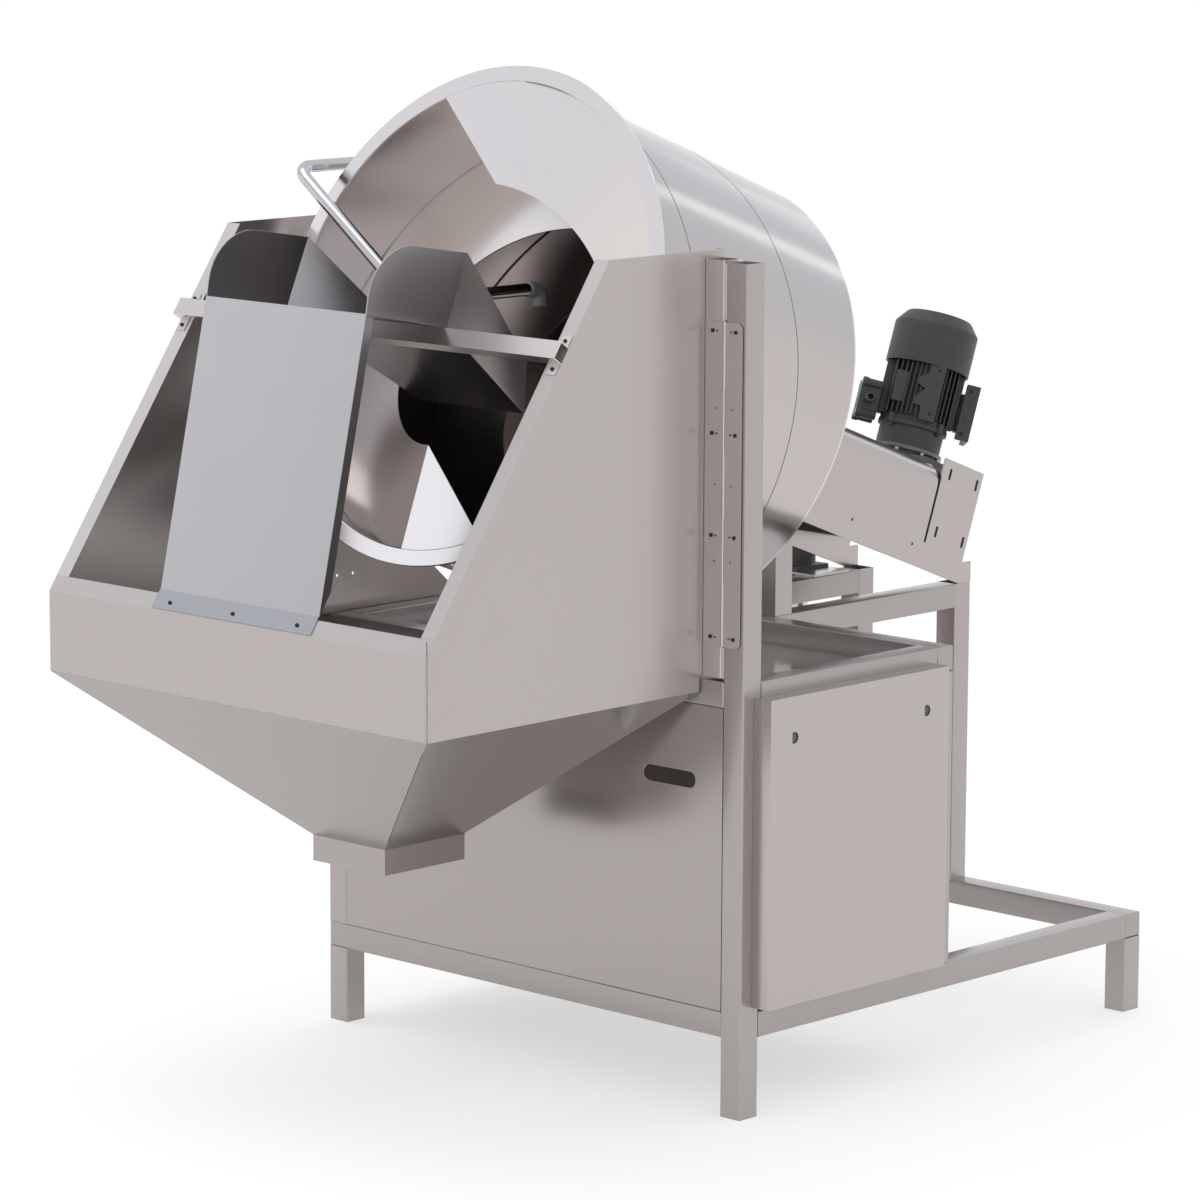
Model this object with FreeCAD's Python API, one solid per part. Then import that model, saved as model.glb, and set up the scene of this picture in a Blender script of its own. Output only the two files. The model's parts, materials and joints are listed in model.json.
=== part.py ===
import FreeCAD, Part
import math
import os

from FreeCAD import Matrix, Placement, Rotation, Vector

# Meat salting machine: a tilted drum with two helical flights on a square tube frame, fed by a chute and a brine
# pipe. A hood with a hopper hangs on a hinge in front of the drum's mouth and swings open.
#
# Lengths are millimetres and angles degrees. While it is built, x = 0 is the right face of the front right post,
# y = 0 its front face and z = 0 the floor: +x is to the right, +y to the rear. At the end the whole model moves
# so that its origin is under the middle of its box.

# Square tube frame
TUBE = 60.0                # outer width of the square tube
TUBE_WALL = 3.0
FRAME_D = 1463.0           # base frame, front to rear
GROUND_CLEARANCE = 183.0   # floor to the underside of the base rails
CABINET_D = 729.0
CABINET_TOP = 996.0
POST_TOP = 1931.0          # top of the front right post
END_CAP = 4.0              # plate that closes a tube's end

# Cabinet covers
SHEET = 3.0
PANEL_GAP = 0.5            # gap round a panel between its tubes
DECK_RECESS = 51.0         # cabinet top down to the deck
SLOT_LEN = 159.0           # hand slot in the front panel
SLOT_H = 37.0
SLOT_RIGHT = 142.0         # post's right face to the slot's right end
SLOT_Z = 742.0
COVER_D = 26.5             # depth of each of the two layers of the side cover
COVER_FRONT = 34.0
COVER_REAR = 650.0
COVER_BOTTOM = 257.0
COVER_TOP = 964.0
COVER_SEAM = 0.3
LOCK_HOLE_R = 13.0
LOCK_HOLE_FLAT = 7.0       # centre of a lock hole to its flat side
LOCK_HOLE_IN = 79.0        # cover's edge to a lock hole
LOCK_HOLE_DOWN = 94.0      # cover's top to a lock hole

# Drum, its axis tilted so that the mouth looks up
MOUTH_Y = -141.0
MOUTH_Z = 1775.0
TILT = 20.48
DRUM_R = 552.5             # inner radius of the shell
DRUM_WALL = 3.0
DRUM_LEN = 739.0
RING_W = 37.5              # width of the flat ring round the mouth
RING_T = 8.0
HEAD_DEPTH = 80.0          # how far the rear head bulges
HEAD_T = 4.0
HUB_R = 120.0
HUB_T = 30.0
SHAFT_R = 35.0
FLIGHT_R = 309.0           # inner radius of the flights
FLIGHT_T = 4.0
FLIGHT_COUNT = 2
FLIGHT_START = 90.0
GUSSET_ANGLE = 24.6
GUSSET_T = 3.0
WELD_GAP = 0.2             # flight's edge to the shell

# Drive housing, along the drum's axis behind the rear head
HOUSING_W = 376.0
HOUSING_T = 6.0
HOUSING_UP = 79.0          # axis to the outside of the top
HOUSING_DOWN = 185.0       # axis to the lower edge
HOUSING_FOLD_R = 60.0
HOUSING_START = 1000.0     # mouth to the front edge, along the axis
HOUSING_FOLD_END = 1560.0
TAB_START = 1568.0
TAB_END = 1725.0
TAB_UP = 97.0
TAB_ROOT = -120.0          # where the relief cut behind the fold ends
TAB_STEP = 52.0            # height of the foot behind the rear posts
TAB_SLOTS_S = (1598.0, 1707.0)
TAB_SLOTS_UP = (62.0, -85.0)
TAB_SLOT_LEN = 29.0
TAB_SLOT_W = 9.0
SIDE_HOLE_R = 4.0
SIDE_HOLE_UP = -135.0
SIDE_HOLES_S = (1277.0, 1519.0)

# Bearings on the drum shaft
BEARING_S = (1120.0, 1470.0)
BEARING_PLATE_T = 12.0
BEARING_PLATE_DOWN = 150.0
BEARING_R = 72.0
BEARING_FLANGE_T = 14.0
BEARING_BOSS_R = 54.0
BEARING_LEN = 40.0
BEARING_BOLT_PCR = 61.0
BEARING_BOLT_COUNT = 4
BOLT_R = 5.0
BOLT_HEAD_R = 8.0
BOLT_HEAD_H = 6.0
RUN = 0.05                 # radial clearance of a running fit
OVER = 1.0                 # how far a cutter reaches past what it cuts

# Gear unit and motor, the motor's axis square to the drum's
MOTOR_S = 1636.0
GEAR_CASE_W = 220.0
GEAR_CASE_FRONT = 61.0     # motor axis to the case's front face
GEAR_CASE_REAR = 80.0
GEAR_CASE_UP = 96.0
GEAR_CASE_DOWN = 112.0
GEAR_CASE_WALL = 12.0
PAD_R = 14.0               # round pads between the gear case and the tabs
WHEEL_R = 72.0             # bevel wheel at its large end
PINION_R = 18.0            # bevel pinion at its large end
GEAR_FACE = 0.3            # share of the pitch cone that carries teeth
WHEEL_BACK = 14.0
TOOTH_GAP = 0.3
NECK_R = 81.5
NECK_TOP = 180.0
NECK_FLANGE_R = 88.0
NECK_FLANGE_T = 12.0
BODY_R = 86.0
FIN_R = 100.0
FIN_T = 3.4
FIN_STEP = 11.25
BODY_TOP = 338.0
FAN_COVER_R = 106.0
FAN_COVER_TOP = 463.0
FAN_COVER_FACE_R = 81.0
FAN_COVER_CHAMFER = 32.0
FAN_COVER_WALL = 2.5
ROTOR_R = 12.0
FAN_R = 80.0
FAN_T = 12.0
BOX_W = 96.0               # terminal box
BOX_H = 104.0
BOX_LOW = 162.0            # drum's axis to the box's lower side, along the motor's shaft
BOX_D = 52.0
GLAND_R = 13.0
FOOT_W = 44.0              # foot plates on the motor body
FOOT_H = 142.0
FOOT_LOW = 168.0
FOOT_T = 12.0
FOOT_OUT = 128.0
FOOT_HOLE_R = 6.0
MOTOR_TURN = -45.0         # how the body, its terminal box and its foot are turned about the shaft

# Hood
HINGE_GAP = 8.0            # post to the hood's tube
RING_GAP_RIGHT = 24.0      # hood's plates to the ring round the mouth
RING_GAP_LEFT = 18.0
HOOD_OVERHANG = 13.0       # frame's left face to the hood's
HOOD_T = 3.0
HOOD_FRONT = -858.0
HOOD_REAR = 68.0
HOOD_BOTTOM = 966.0
LIP_H = 185.0              # height of the hood's front panel
HOOD_SLOPE_Y = -303.0      # top end of the sloped edge
HOOD_TOP = 1953.0
HOOD_LIP = 41.0            # width of the flanges round the sloped opening
HOOD_REAR_LIP = 18.0
HOOD_NOTCH_Y = -5.0
HOOD_NOTCH_RISE = 8.0      # cabinet top to the hood's rear lower edge
GUARD_END_Y = 445.0        # the left plate's lower part, which reaches past the frame's side
GUARD_END_Z = 1000.0
GUARD_SLOPE = 41.0         # slope of its rear edge
GUARD_HOLE_R = 3.5
GUARD_HOLE_YS = (39.0, 91.0)
GUARD_HOLE_Z = 1083.0
HOOD_TUBE_TOP = 1935.0
SPOUT_W = 234.0
SPOUT_FRONT = -504.0
SPOUT_REAR = -252.0
SPOUT_TOP = 606.0
SPOUT_BOTTOM = 546.0

# Hinge
LEAF_BOTTOM = 1075.0
LEAF_TOP = 1800.0
LEAF_T = 3.0
LEAF_W = 50.0
LEAF_CORNER = 15.0
KNUCKLES = 5
KNUCKLE_R = 3.4
KNUCKLE_GAP = 0.4
PIN_R = 1.9
PIN_HEAD_R = 3.4
PIN_HEAD_H = 3.0
LEAF_SCREWS = 4            # large screws in each leaf
LEAF_SCREW_END = 20.5      # leaf's end to the nearest screw
SCREW_R = 2.5
SCREW_HEAD_R = 4.5
SCREW_HEAD_H = 2.4
SCREW_REACH = 6.0          # how far a screw goes below the sheet

# Crossbar
BAR_W = 43.0
BAR_H = 29.0
BAR_T = 3.0
BAR_FOOT = 27.0
SEAT_GAP = 0.3

# Loading chute
CHUTE_HALF = 257.0
CHUTE_T = 3.0
CHUTE_RETURN = 24.0
CHUTE_FOOT_Y = -832.0      # lower edge of the front plate
CHUTE_FOLD_Y = -688.0      # front plate to tray
CHUTE_FOLD_Z = 1837.0
TRAY_END_Y = -444.0        # tray to tail
TRAY_END_Z = 1791.0
EAR_R = 130.0
EAR_TOP_Y = -548.0
EAR_TOP_Z = 1976.0
EAR_END_Y = -379.0
EAR_END_Z = 1948.0
TAIL_LEN = 415.0
TAIL_IN = 0.218            # how much the tail narrows on each side, per length
TAIL_DROP = 34.35          # the tail floor's slope
CHUTE_SCREW_STEP = 206.0

# Brine side
PIPE_R = 15.0
PIPE_WALL = 1.5
PIPE_BEND = 45.0
PIPE_TOP_Z = 2076.0
PIPE_LEFT = 53.0           # frame's left face to the pipe's upright run
PIPE_IN_X = -903.0
PIPE_IN_Y = -147.0
PIPE_IN_Z = 1791.0
PIPE_END_Y = 238.0
PIPE_DOWN_Y = 930.0
NOZZLE_R = 19.0
NOZZLE_LEN = 34.0
NOZZLE_DROP = 40.0
NOZZLE_BEND = 22.0
STAND_W = 40.0
STAND_WALL = 2.5
STAND_TOP = 1180.0
CLAMP_W = 50.0
CLAMP_H = 30.0
TANK_R = 160.0
TANK_SIDE = 100.0          # pump's axis to the tank's
TANK_Y = 1230.0
TANK_TOP = 970.0
TANK_WALL = 3.0
LID_T = 4.0
LID_LAP = 6.0
TRAY_T = 4.0
TRAY_FRONT = 1000.0
BRACKET_T = 6.0
BRACKET_FRONT = 1232.0
BRACKET_REAR = 1366.0
PUMP_R = 55.0
PUMP_SIDE = 70.0           # drive housing to the pump's axis
PUMP_Y = 1302.0
PUMP_HEAD_H = 58.0
PUMP_MOTOR_H = 120.0
PUMP_OUT_UP = 29.0         # bracket to the outlet's axis
PUMP_FOOT = 62.0           # half the width of the pump's foot
PUMP_FOOT_T = 8.0
SUCTION_END = 300.0        # height of the suction pipe's lower end

SHELL_R = DRUM_R + DRUM_WALL
RING_R = DRUM_R + RING_W
HOOD_X1 = -(2 * TUBE + HINGE_GAP)
AXIS_X = HOOD_X1 - RING_GAP_RIGHT - RING_R
HOOD_X0 = AXIS_X - RING_R - RING_GAP_LEFT
FRAME_W = -HOOD_X0 - HOOD_OVERHANG
HINGE_X = -(TUBE + HINGE_GAP / 2)
HINGE_Y = -LEAF_T / 2
BASE_TOP = GROUND_CLEARANCE + TUBE
HOUSING_X1 = AXIS_X + HOUSING_W / 2
HOUSING_X0 = AXIS_X - HOUSING_W / 2
PIPE_LEFT_X = PIPE_LEFT - FRAME_W
PUMP_X = HOUSING_X0 - PUMP_SIDE
TANK_X = PUMP_X - TANK_SIDE
LIP_TOP = HOOD_BOTTOM + LIP_H
SLOPE = math.degrees(math.atan2(HOOD_TOP - LIP_TOP, HOOD_SLOPE_Y - HOOD_FRONT))
SLOPE_LEN = math.hypot(HOOD_TOP - LIP_TOP, HOOD_SLOPE_Y - HOOD_FRONT)
EZ = Vector(0, 0, 1)


def box(x0, x1, y0, y1, z0, z1):
    return Part.makeBox(x1 - x0, y1 - y0, z1 - z0, Vector(x0, y0, z0))


def tube(along, x0, x1, y0, y1, z0, z1, wall=TUBE_WALL):
    """A square tube between two corners, open at both ends along the named axis."""
    low, high = [x0, y0, z0], [x1, y1, z1]
    for i, name in enumerate("xyz"):
        step = -wall if name == along else wall
        low[i] += step
        high[i] -= step
    return box(x0, x1, y0, y1, z0, z1).cut(box(low[0], high[0], low[1], high[1], low[2], high[2]))


def footed(x0, x1, y0, y1, z1):
    """An upright tube from the floor, its lower end closed by a plate."""
    plate = box(x0, x1, y0, y1, 0, END_CAP)
    return tube("z", x0, x1, y0, y1, 0, z1).fuse(plate).removeSplitter()


def cylinder(radius, height, centre, axis=EZ):
    return Part.makeCylinder(radius, height, centre, axis)


def polygon(points):
    return Part.Face(Part.makePolygon([Vector(*p) for p in points] + [Vector(*points[0])]))


def plate_yz(points, x0, x1):
    """A flat plate between x0 and x1 with an outline of (y, z) points."""
    return polygon([(x0, y, z) for y, z in points]).extrude(Vector(x1 - x0, 0, 0))


def slab(points, thickness, towards):
    """A flat sheet on a polygon, thickened to the side that a vector points to."""
    a, b, c = (Vector(*p) for p in points[:3])
    normal = (b - a).cross(c - b).normalize()
    if normal.dot(Vector(*towards)) < 0:
        normal = normal * -1
    return polygon(points).extrude(normal * thickness)


def fused(shapes):
    whole = shapes[0]
    for shape in shapes[1:]:
        whole = whole.fuse(shape)
    return whole.removeSplitter()


def drum_point(s, up):
    """World (y, z) of a point: s along the drum's axis from the mouth, up square to it."""
    t = math.radians(TILT)
    return (MOUTH_Y + s * math.cos(t) + up * math.sin(t), MOUTH_Z - s * math.sin(t) + up * math.cos(t))


def axis_s_at(up, z):
    """How far along the drum's axis a line at this height above it comes down to z."""
    t = math.radians(TILT)
    return (MOUTH_Z + up * math.cos(t) - z) / math.sin(t)


def in_drum_frame(shape):
    """From the drum's own frame, with +z out of the mouth and +y up, to the machine's."""
    return shape.transformed(Placement(Vector(AXIS_X, MOUTH_Y, MOUTH_Z), Rotation(Vector(1, 0, 0), 90 - TILT)).toMatrix())


def in_motor_frame(shape):
    """From the motor's frame, with +z along its shaft and +y to the rear, to the machine's."""
    y, z = drum_point(MOTOR_S, 0)
    return shape.transformed(Placement(Vector(AXIS_X, y, z), Rotation(Vector(1, 0, 0), -TILT)).toMatrix())


def on_motor_body(shape):
    """From the body's own directions, which are turned about the shaft, to the machine's frame."""
    turned = shape.copy()
    turned.rotate(Vector(0, 0, 0), EZ, MOTOR_TURN)
    return in_motor_frame(turned)


def revolved(points):
    """A solid of revolution about z from (radius, height) points."""
    face = polygon([(r, 0, z) for r, z in points])
    return face.revolve(Vector(0, 0, 0), EZ, 360)


# Frame

def legs():
    rear = FRAME_D - TUBE
    return [footed(-FRAME_W, TUBE - FRAME_W, 0, TUBE, GROUND_CLEARANCE),
            footed(-FRAME_W, TUBE - FRAME_W, rear, FRAME_D, GROUND_CLEARANCE),
            footed(-TUBE, 0, rear, FRAME_D, GROUND_CLEARANCE)]


def front_right_post():
    return footed(-TUBE, 0, 0, TUBE, POST_TOP)


def capped(rail):
    """Closes a cross rail's right end with a plate."""
    edge = rail.BoundBox
    cap = box(edge.XMax - END_CAP, edge.XMax, edge.YMin, edge.YMax, edge.ZMin, edge.ZMax)
    return rail.fuse(cap).removeSplitter()


def base_cross_rails():
    z = (GROUND_CLEARANCE, BASE_TOP)
    return [tube("x", -FRAME_W, -TUBE, 0, TUBE, *z),
            tube("x", TUBE - FRAME_W, -TUBE, CABINET_D - TUBE, CABINET_D, *z),
            capped(tube("x", -FRAME_W, 0, FRAME_D - TUBE, FRAME_D, *z))]


def base_side_rails():
    y = (TUBE, FRAME_D - TUBE)
    return [tube("y", x, x + TUBE, *y, GROUND_CLEARANCE, BASE_TOP) for x in (-FRAME_W, -TUBE)]


def cabinet_uprights():
    places = ((-FRAME_W, 0), (-FRAME_W, CABINET_D - TUBE), (-TUBE, CABINET_D - TUBE))
    return [tube("z", x, x + TUBE, y, y + TUBE, BASE_TOP, CABINET_TOP - TUBE) for x, y in places]


def cabinet_top_cross_rails():
    z = (CABINET_TOP - TUBE, CABINET_TOP)
    return [tube("x", -FRAME_W, -TUBE, 0, TUBE, *z),
            capped(tube("x", -FRAME_W, 0, CABINET_D - TUBE, CABINET_D, *z))]


def cabinet_top_side_rails():
    y = (TUBE, CABINET_D - TUBE)
    return [tube("y", x, x + TUBE, *y, CABINET_TOP - TUBE, CABINET_TOP) for x in (-FRAME_W, -TUBE)]


def rear_frame_xs():
    return (HOUSING_X0, HOUSING_X1 - TUBE)


def rear_frame_rails():
    z = (CABINET_TOP - TUBE, CABINET_TOP)
    return [tube("y", x, x + TUBE, CABINET_D, FRAME_D - TUBE, *z) for x in rear_frame_xs()]


def rear_posts():
    return [tube("z", x, x + TUBE, FRAME_D - TUBE, FRAME_D, BASE_TOP, CABINET_TOP) for x in rear_frame_xs()]


def short_posts():
    """Posts on the rear frame's rails, cut off at the drive housing's slope."""
    t = math.radians(TILT)
    y0, y1 = CABINET_D, CABINET_D + TUBE
    tops = []
    for y in (y0, y1):
        s = (y - MOUTH_Y + HOUSING_DOWN * math.sin(t)) / math.cos(t)
        tops.append(drum_point(s, -HOUSING_DOWN)[1])
    posts = []
    for x in rear_frame_xs():
        full = tube("z", x, x + TUBE, y0, y1, CABINET_TOP, tops[0])
        above = plate_yz([(y0, tops[0]), (y1, tops[1]), (y1, tops[0] + TUBE), (y0, tops[0] + TUBE)], x, x + TUBE)
        posts.append(full.cut(above))
    return posts


# Cabinet

def cabinet_front_panel():
    gap = PANEL_GAP
    panel = box(TUBE - FRAME_W + gap, -TUBE - gap, 0, SHEET, BASE_TOP + gap, CABINET_TOP - TUBE - gap)
    x1 = -SLOT_RIGHT
    x0 = x1 - SLOT_LEN
    r = SLOT_H / 2
    slot = fused([box(x0 + r, x1 - r, -SHEET, 2 * SHEET, SLOT_Z, SLOT_Z + SLOT_H)]
                 + [cylinder(r, 3 * SHEET, Vector(x, -SHEET, SLOT_Z + r), Vector(0, 1, 0)) for x in (x0 + r, x1 - r)])
    return panel.cut(slot)


def cabinet_left_panel():
    gap = PANEL_GAP
    y = (TUBE + gap, CABINET_D - TUBE - gap)
    return box(-FRAME_W, SHEET - FRAME_W, *y, BASE_TOP + gap, CABINET_TOP - TUBE - gap)


def cabinet_rear_panel():
    gap = PANEL_GAP
    x = (TUBE - FRAME_W + gap, -TUBE - gap)
    return box(*x, CABINET_D - SHEET, CABINET_D, BASE_TOP + gap, CABINET_TOP - TUBE - gap)


def cabinet_deck():
    gap = PANEL_GAP
    z = CABINET_TOP - DECK_RECESS
    x = (TUBE - FRAME_W + gap, -TUBE - gap)
    return box(*x, TUBE + gap, CABINET_D - TUBE - gap, z - SHEET, z)


def cover_layer(x0, x1):
    """A sheet tray, open towards the cabinet."""
    outer = box(x0, x1, COVER_FRONT, COVER_REAR, COVER_BOTTOM, COVER_TOP)
    inner = box(x0 - SHEET, x1 - SHEET, COVER_FRONT + SHEET, COVER_REAR - SHEET, COVER_BOTTOM + SHEET, COVER_TOP - SHEET)
    return outer.cut(inner)


def side_cover_frame():
    return cover_layer(0, COVER_D)


def side_cover():
    x1 = 2 * COVER_D + COVER_SEAM
    cover = cover_layer(COVER_D + COVER_SEAM, x1)
    for y in (COVER_FRONT + LOCK_HOLE_IN, COVER_REAR - LOCK_HOLE_IN):
        z = COVER_TOP - LOCK_HOLE_DOWN
        hole = cylinder(LOCK_HOLE_R, 3 * SHEET, Vector(x1 - 2 * SHEET, y, z), Vector(1, 0, 0))
        flat = box(x1 - 3 * SHEET, x1 + 2 * SHEET, y - LOCK_HOLE_FLAT - LOCK_HOLE_R, y - LOCK_HOLE_FLAT,
                   z - LOCK_HOLE_R, z + LOCK_HOLE_R)
        cover = cover.cut(hole.cut(flat))
    return cover


# Drum

def drum_shell():
    shell = revolved([(DRUM_R, -RING_T), (SHELL_R, -RING_T), (SHELL_R, -DRUM_LEN), (DRUM_R, -DRUM_LEN)])
    return in_drum_frame(shell)


def drum_mouth_ring():
    return in_drum_frame(revolved([(DRUM_R, 0), (RING_R, 0), (RING_R, -RING_T), (DRUM_R, -RING_T)]))


def drum_rear_head():
    """A shallow cone from the shell's rear edge to a flat round the shaft."""
    z0, z1 = -DRUM_LEN, -DRUM_LEN - HEAD_DEPTH
    bore = SHAFT_R + RUN
    return in_drum_frame(revolved([(SHELL_R, z0), (HUB_R, z1), (bore, z1), (bore, z1 - HEAD_T),
                                   (HUB_R, z1 - HEAD_T), (SHELL_R, z0 - HEAD_T)]))


def shaft_end_s():
    return MOTOR_S + PINION_R + WHEEL_BACK + GEAR_FACE * PINION_R


def drum_shaft():
    """The shaft with its hub disc, which bolts against the rear head."""
    s0 = DRUM_LEN + HEAD_DEPTH
    hub_s = s0 + HEAD_T
    shaft = cylinder(SHAFT_R, shaft_end_s() - s0, Vector(0, 0, -shaft_end_s()))
    hub = cylinder(HUB_R, HUB_T, Vector(0, 0, -hub_s - HUB_T))
    return in_drum_frame(fused([hub, shaft]))


def helical_flight(start):
    """One turn of a helical strip from the mouth to the rear."""
    rings = []
    outer_r = DRUM_R - WELD_GAP
    for radius in (FLIGHT_R, outer_r):
        for z in (-DRUM_LEN, -DRUM_LEN + FLIGHT_T):
            helix = Part.makeHelix(DRUM_LEN - FLIGHT_T, DRUM_LEN - FLIGHT_T, radius)
            helix.translate(Vector(0, 0, z))
            rings.append(helix.Edges[0])
    inner_low, inner_high, outer_low, outer_high = rings
    sides = [Part.makeRuledSurface(a, b) for a, b in ((inner_low, outer_low), (inner_high, outer_high),
                                                      (inner_low, inner_high), (outer_low, outer_high))]
    ends = []
    for z in (-DRUM_LEN, -FLIGHT_T):
        ends.append(polygon([(FLIGHT_R, 0, z), (outer_r, 0, z), (outer_r, 0, z + FLIGHT_T), (FLIGHT_R, 0, z + FLIGHT_T)]))
    shell = Part.Shell(sides + ends)
    shell.sewShape()
    solid = Part.Solid(shell)
    if solid.Volume < 0:
        solid.reverse()
    solid.rotate(Vector(0, 0, 0), EZ, start)
    return in_drum_frame(solid)


def gusset(start):
    """A flat corner piece in the mouth, from the flight's front end to the shell."""
    outer_r = DRUM_R - WELD_GAP
    a = math.radians(GUSSET_ANGLE)
    inner = Vector(FLIGHT_R, 0, 0)
    first = Vector(outer_r, 0, 0)
    last = Vector(outer_r * math.cos(a), outer_r * math.sin(a), 0)
    middle = Vector(outer_r * math.cos(a / 2), outer_r * math.sin(a / 2), 0)
    wire = Part.Wire([Part.makeLine(inner, first), Part.Arc(first, middle, last).toShape(), Part.makeLine(last, inner)])
    piece = Part.Face(wire).extrude(Vector(0, 0, -GUSSET_T))
    piece.rotate(Vector(0, 0, 0), EZ, start)
    return in_drum_frame(piece)


def flight_nodes():
    nodes = {}
    for i in range(FLIGHT_COUNT):
        start = FLIGHT_START + i * 360.0 / FLIGHT_COUNT
        nodes["flight_%d" % (i + 1)] = helical_flight(start)
    nodes["flight_gussets"] = [gusset(FLIGHT_START + i * 360.0 / FLIGHT_COUNT) for i in range(FLIGHT_COUNT)]
    return nodes


# Drive housing

def housing_profile(inset, lower):
    """Outline of the folded housing, seen along the drum's axis: straight sides and a top with round folds."""
    half = HOUSING_W / 2 - inset
    top = HOUSING_UP - inset
    r = HOUSING_FOLD_R - inset
    k = r * math.sqrt(0.5)
    left, right = -half + r, half - r
    arc_left = Part.Arc(Vector(-half, top - r, 0), Vector(left - k, top - r + k, 0), Vector(left, top, 0)).toShape()
    arc_right = Part.Arc(Vector(right, top, 0), Vector(right + k, top - r + k, 0), Vector(half, top - r, 0)).toShape()
    return Part.Face(Part.Wire([
        Part.makeLine(Vector(-half, lower, 0), Vector(-half, top - r, 0)), arc_left,
        Part.makeLine(Vector(left, top, 0), Vector(right, top, 0)), arc_right,
        Part.makeLine(Vector(half, top - r, 0), Vector(half, lower, 0)),
        Part.makeLine(Vector(half, lower, 0), Vector(-half, lower, 0))]))


def tab_outline():
    """Side of the housing from the end of the fold to the rear, in world (y, z)."""
    foot_y = drum_point(axis_s_at(-HOUSING_DOWN, CABINET_TOP), -HOUSING_DOWN)[0]
    step_z = CABINET_TOP + TAB_STEP
    t = math.radians(TILT)
    rise = (step_z - drum_point(TAB_END, 0)[1]) / math.cos(t)
    return [drum_point(HOUSING_FOLD_END, -HOUSING_DOWN), drum_point(HOUSING_FOLD_END, TAB_ROOT),
            drum_point(TAB_START, TAB_ROOT), drum_point(TAB_START, TAB_UP), drum_point(TAB_END, TAB_UP),
            drum_point(TAB_END, rise), (FRAME_D, step_z), (FRAME_D, CABINET_TOP), (foot_y, CABINET_TOP)]


def tab_slot(s, up):
    """A cutter for one long hole through both tabs."""
    half = TAB_SLOT_LEN / 2 - TAB_SLOT_W / 2
    ends = [cylinder(TAB_SLOT_W / 2, HOUSING_W + 2 * OVER, Vector(-HOUSING_W / 2 - OVER, up + e, -s), Vector(1, 0, 0))
            for e in (-half, half)]
    reach = HOUSING_W / 2 + OVER
    middle = box(-reach, reach, up - half, up + half, -s - TAB_SLOT_W / 2, -s + TAB_SLOT_W / 2)
    return in_drum_frame(fused([middle] + ends))


def drive_housing():
    length = HOUSING_FOLD_END - HOUSING_START
    outer = housing_profile(0, -HOUSING_DOWN).extrude(Vector(0, 0, length))
    inner = housing_profile(HOUSING_T, -HOUSING_DOWN - HOUSING_T).extrude(Vector(0, 0, length + 2 * OVER))
    inner.translate(Vector(0, 0, -OVER))
    cover = outer.cut(inner)
    cover.translate(Vector(0, 0, -HOUSING_FOLD_END))
    tabs = [plate_yz(tab_outline(), x, x + HOUSING_T) for x in (HOUSING_X0, HOUSING_X1 - HOUSING_T)]
    housing = fused([in_drum_frame(cover)] + tabs)
    for s in TAB_SLOTS_S:
        for up in TAB_SLOTS_UP:
            housing = housing.cut(tab_slot(s, up))
    for s in SIDE_HOLES_S:
        hole = cylinder(SIDE_HOLE_R, HOUSING_W + 2 * OVER, Vector(-HOUSING_W / 2 - OVER, SIDE_HOLE_UP, -s), Vector(1, 0, 0))
        housing = housing.cut(in_drum_frame(hole))
    return housing


def bolt_angles():
    return [45 + i * 360.0 / BEARING_BOLT_COUNT for i in range(BEARING_BOLT_COUNT)]


def bolt_circle(radius, height, z):
    """Cylinders on the bearing's bolt circle, in the drum's frame."""
    made = []
    for angle in bolt_angles():
        a = math.radians(angle)
        made.append(cylinder(radius, height, Vector(BEARING_BOLT_PCR * math.cos(a), BEARING_BOLT_PCR * math.sin(a), z)))
    return made


def bearing_plates():
    """Plates across the housing, one behind each bearing."""
    plates = []
    for s in BEARING_S:
        plate = housing_profile(HOUSING_T, -BEARING_PLATE_DOWN).extrude(Vector(0, 0, BEARING_PLATE_T))
        plate.translate(Vector(0, 0, -s - BEARING_PLATE_T))
        plate = plate.cut(cylinder(BEARING_BOSS_R, 3 * BEARING_PLATE_T, Vector(0, 0, -s - 2 * BEARING_PLATE_T)))
        for hole in bolt_circle(BOLT_R, 3 * BEARING_PLATE_T, -s - 2 * BEARING_PLATE_T):
            plate = plate.cut(hole)
        plates.append(in_drum_frame(plate))
    return plates


def flange_bearings():
    """Round flange bearings: the flange lies on the plate's front face and the boss goes through it."""
    bearings = []
    for s in BEARING_S:
        flange = cylinder(BEARING_R, BEARING_FLANGE_T, Vector(0, 0, -s))
        boss = cylinder(BEARING_BOSS_R, BEARING_LEN, Vector(0, 0, BEARING_FLANGE_T - BEARING_LEN - s))
        body = fused([flange, boss])
        body = body.cut(cylinder(SHAFT_R + RUN, 3 * BEARING_LEN, Vector(0, 0, -s - 2 * BEARING_LEN)))
        for hole in bolt_circle(BOLT_R, 3 * BEARING_FLANGE_T, -s - BEARING_FLANGE_T):
            body = body.cut(hole)
        bearings.append(in_drum_frame(body))
    return bearings


def drive_bolts():
    """Bolts of both bearings and of the gear case's pads in the tabs' slots."""
    bolts = []
    for s in BEARING_S:
        shanks = bolt_circle(BOLT_R, BEARING_PLATE_T + BEARING_FLANGE_T, -s - BEARING_PLATE_T)
        heads = bolt_circle(BOLT_HEAD_R, BOLT_HEAD_H, BEARING_FLANGE_T - s)
        bolts += [in_drum_frame(fused([a, b])) for a, b in zip(shanks, heads)]
    return bolts


# Gear unit and motor

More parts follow.
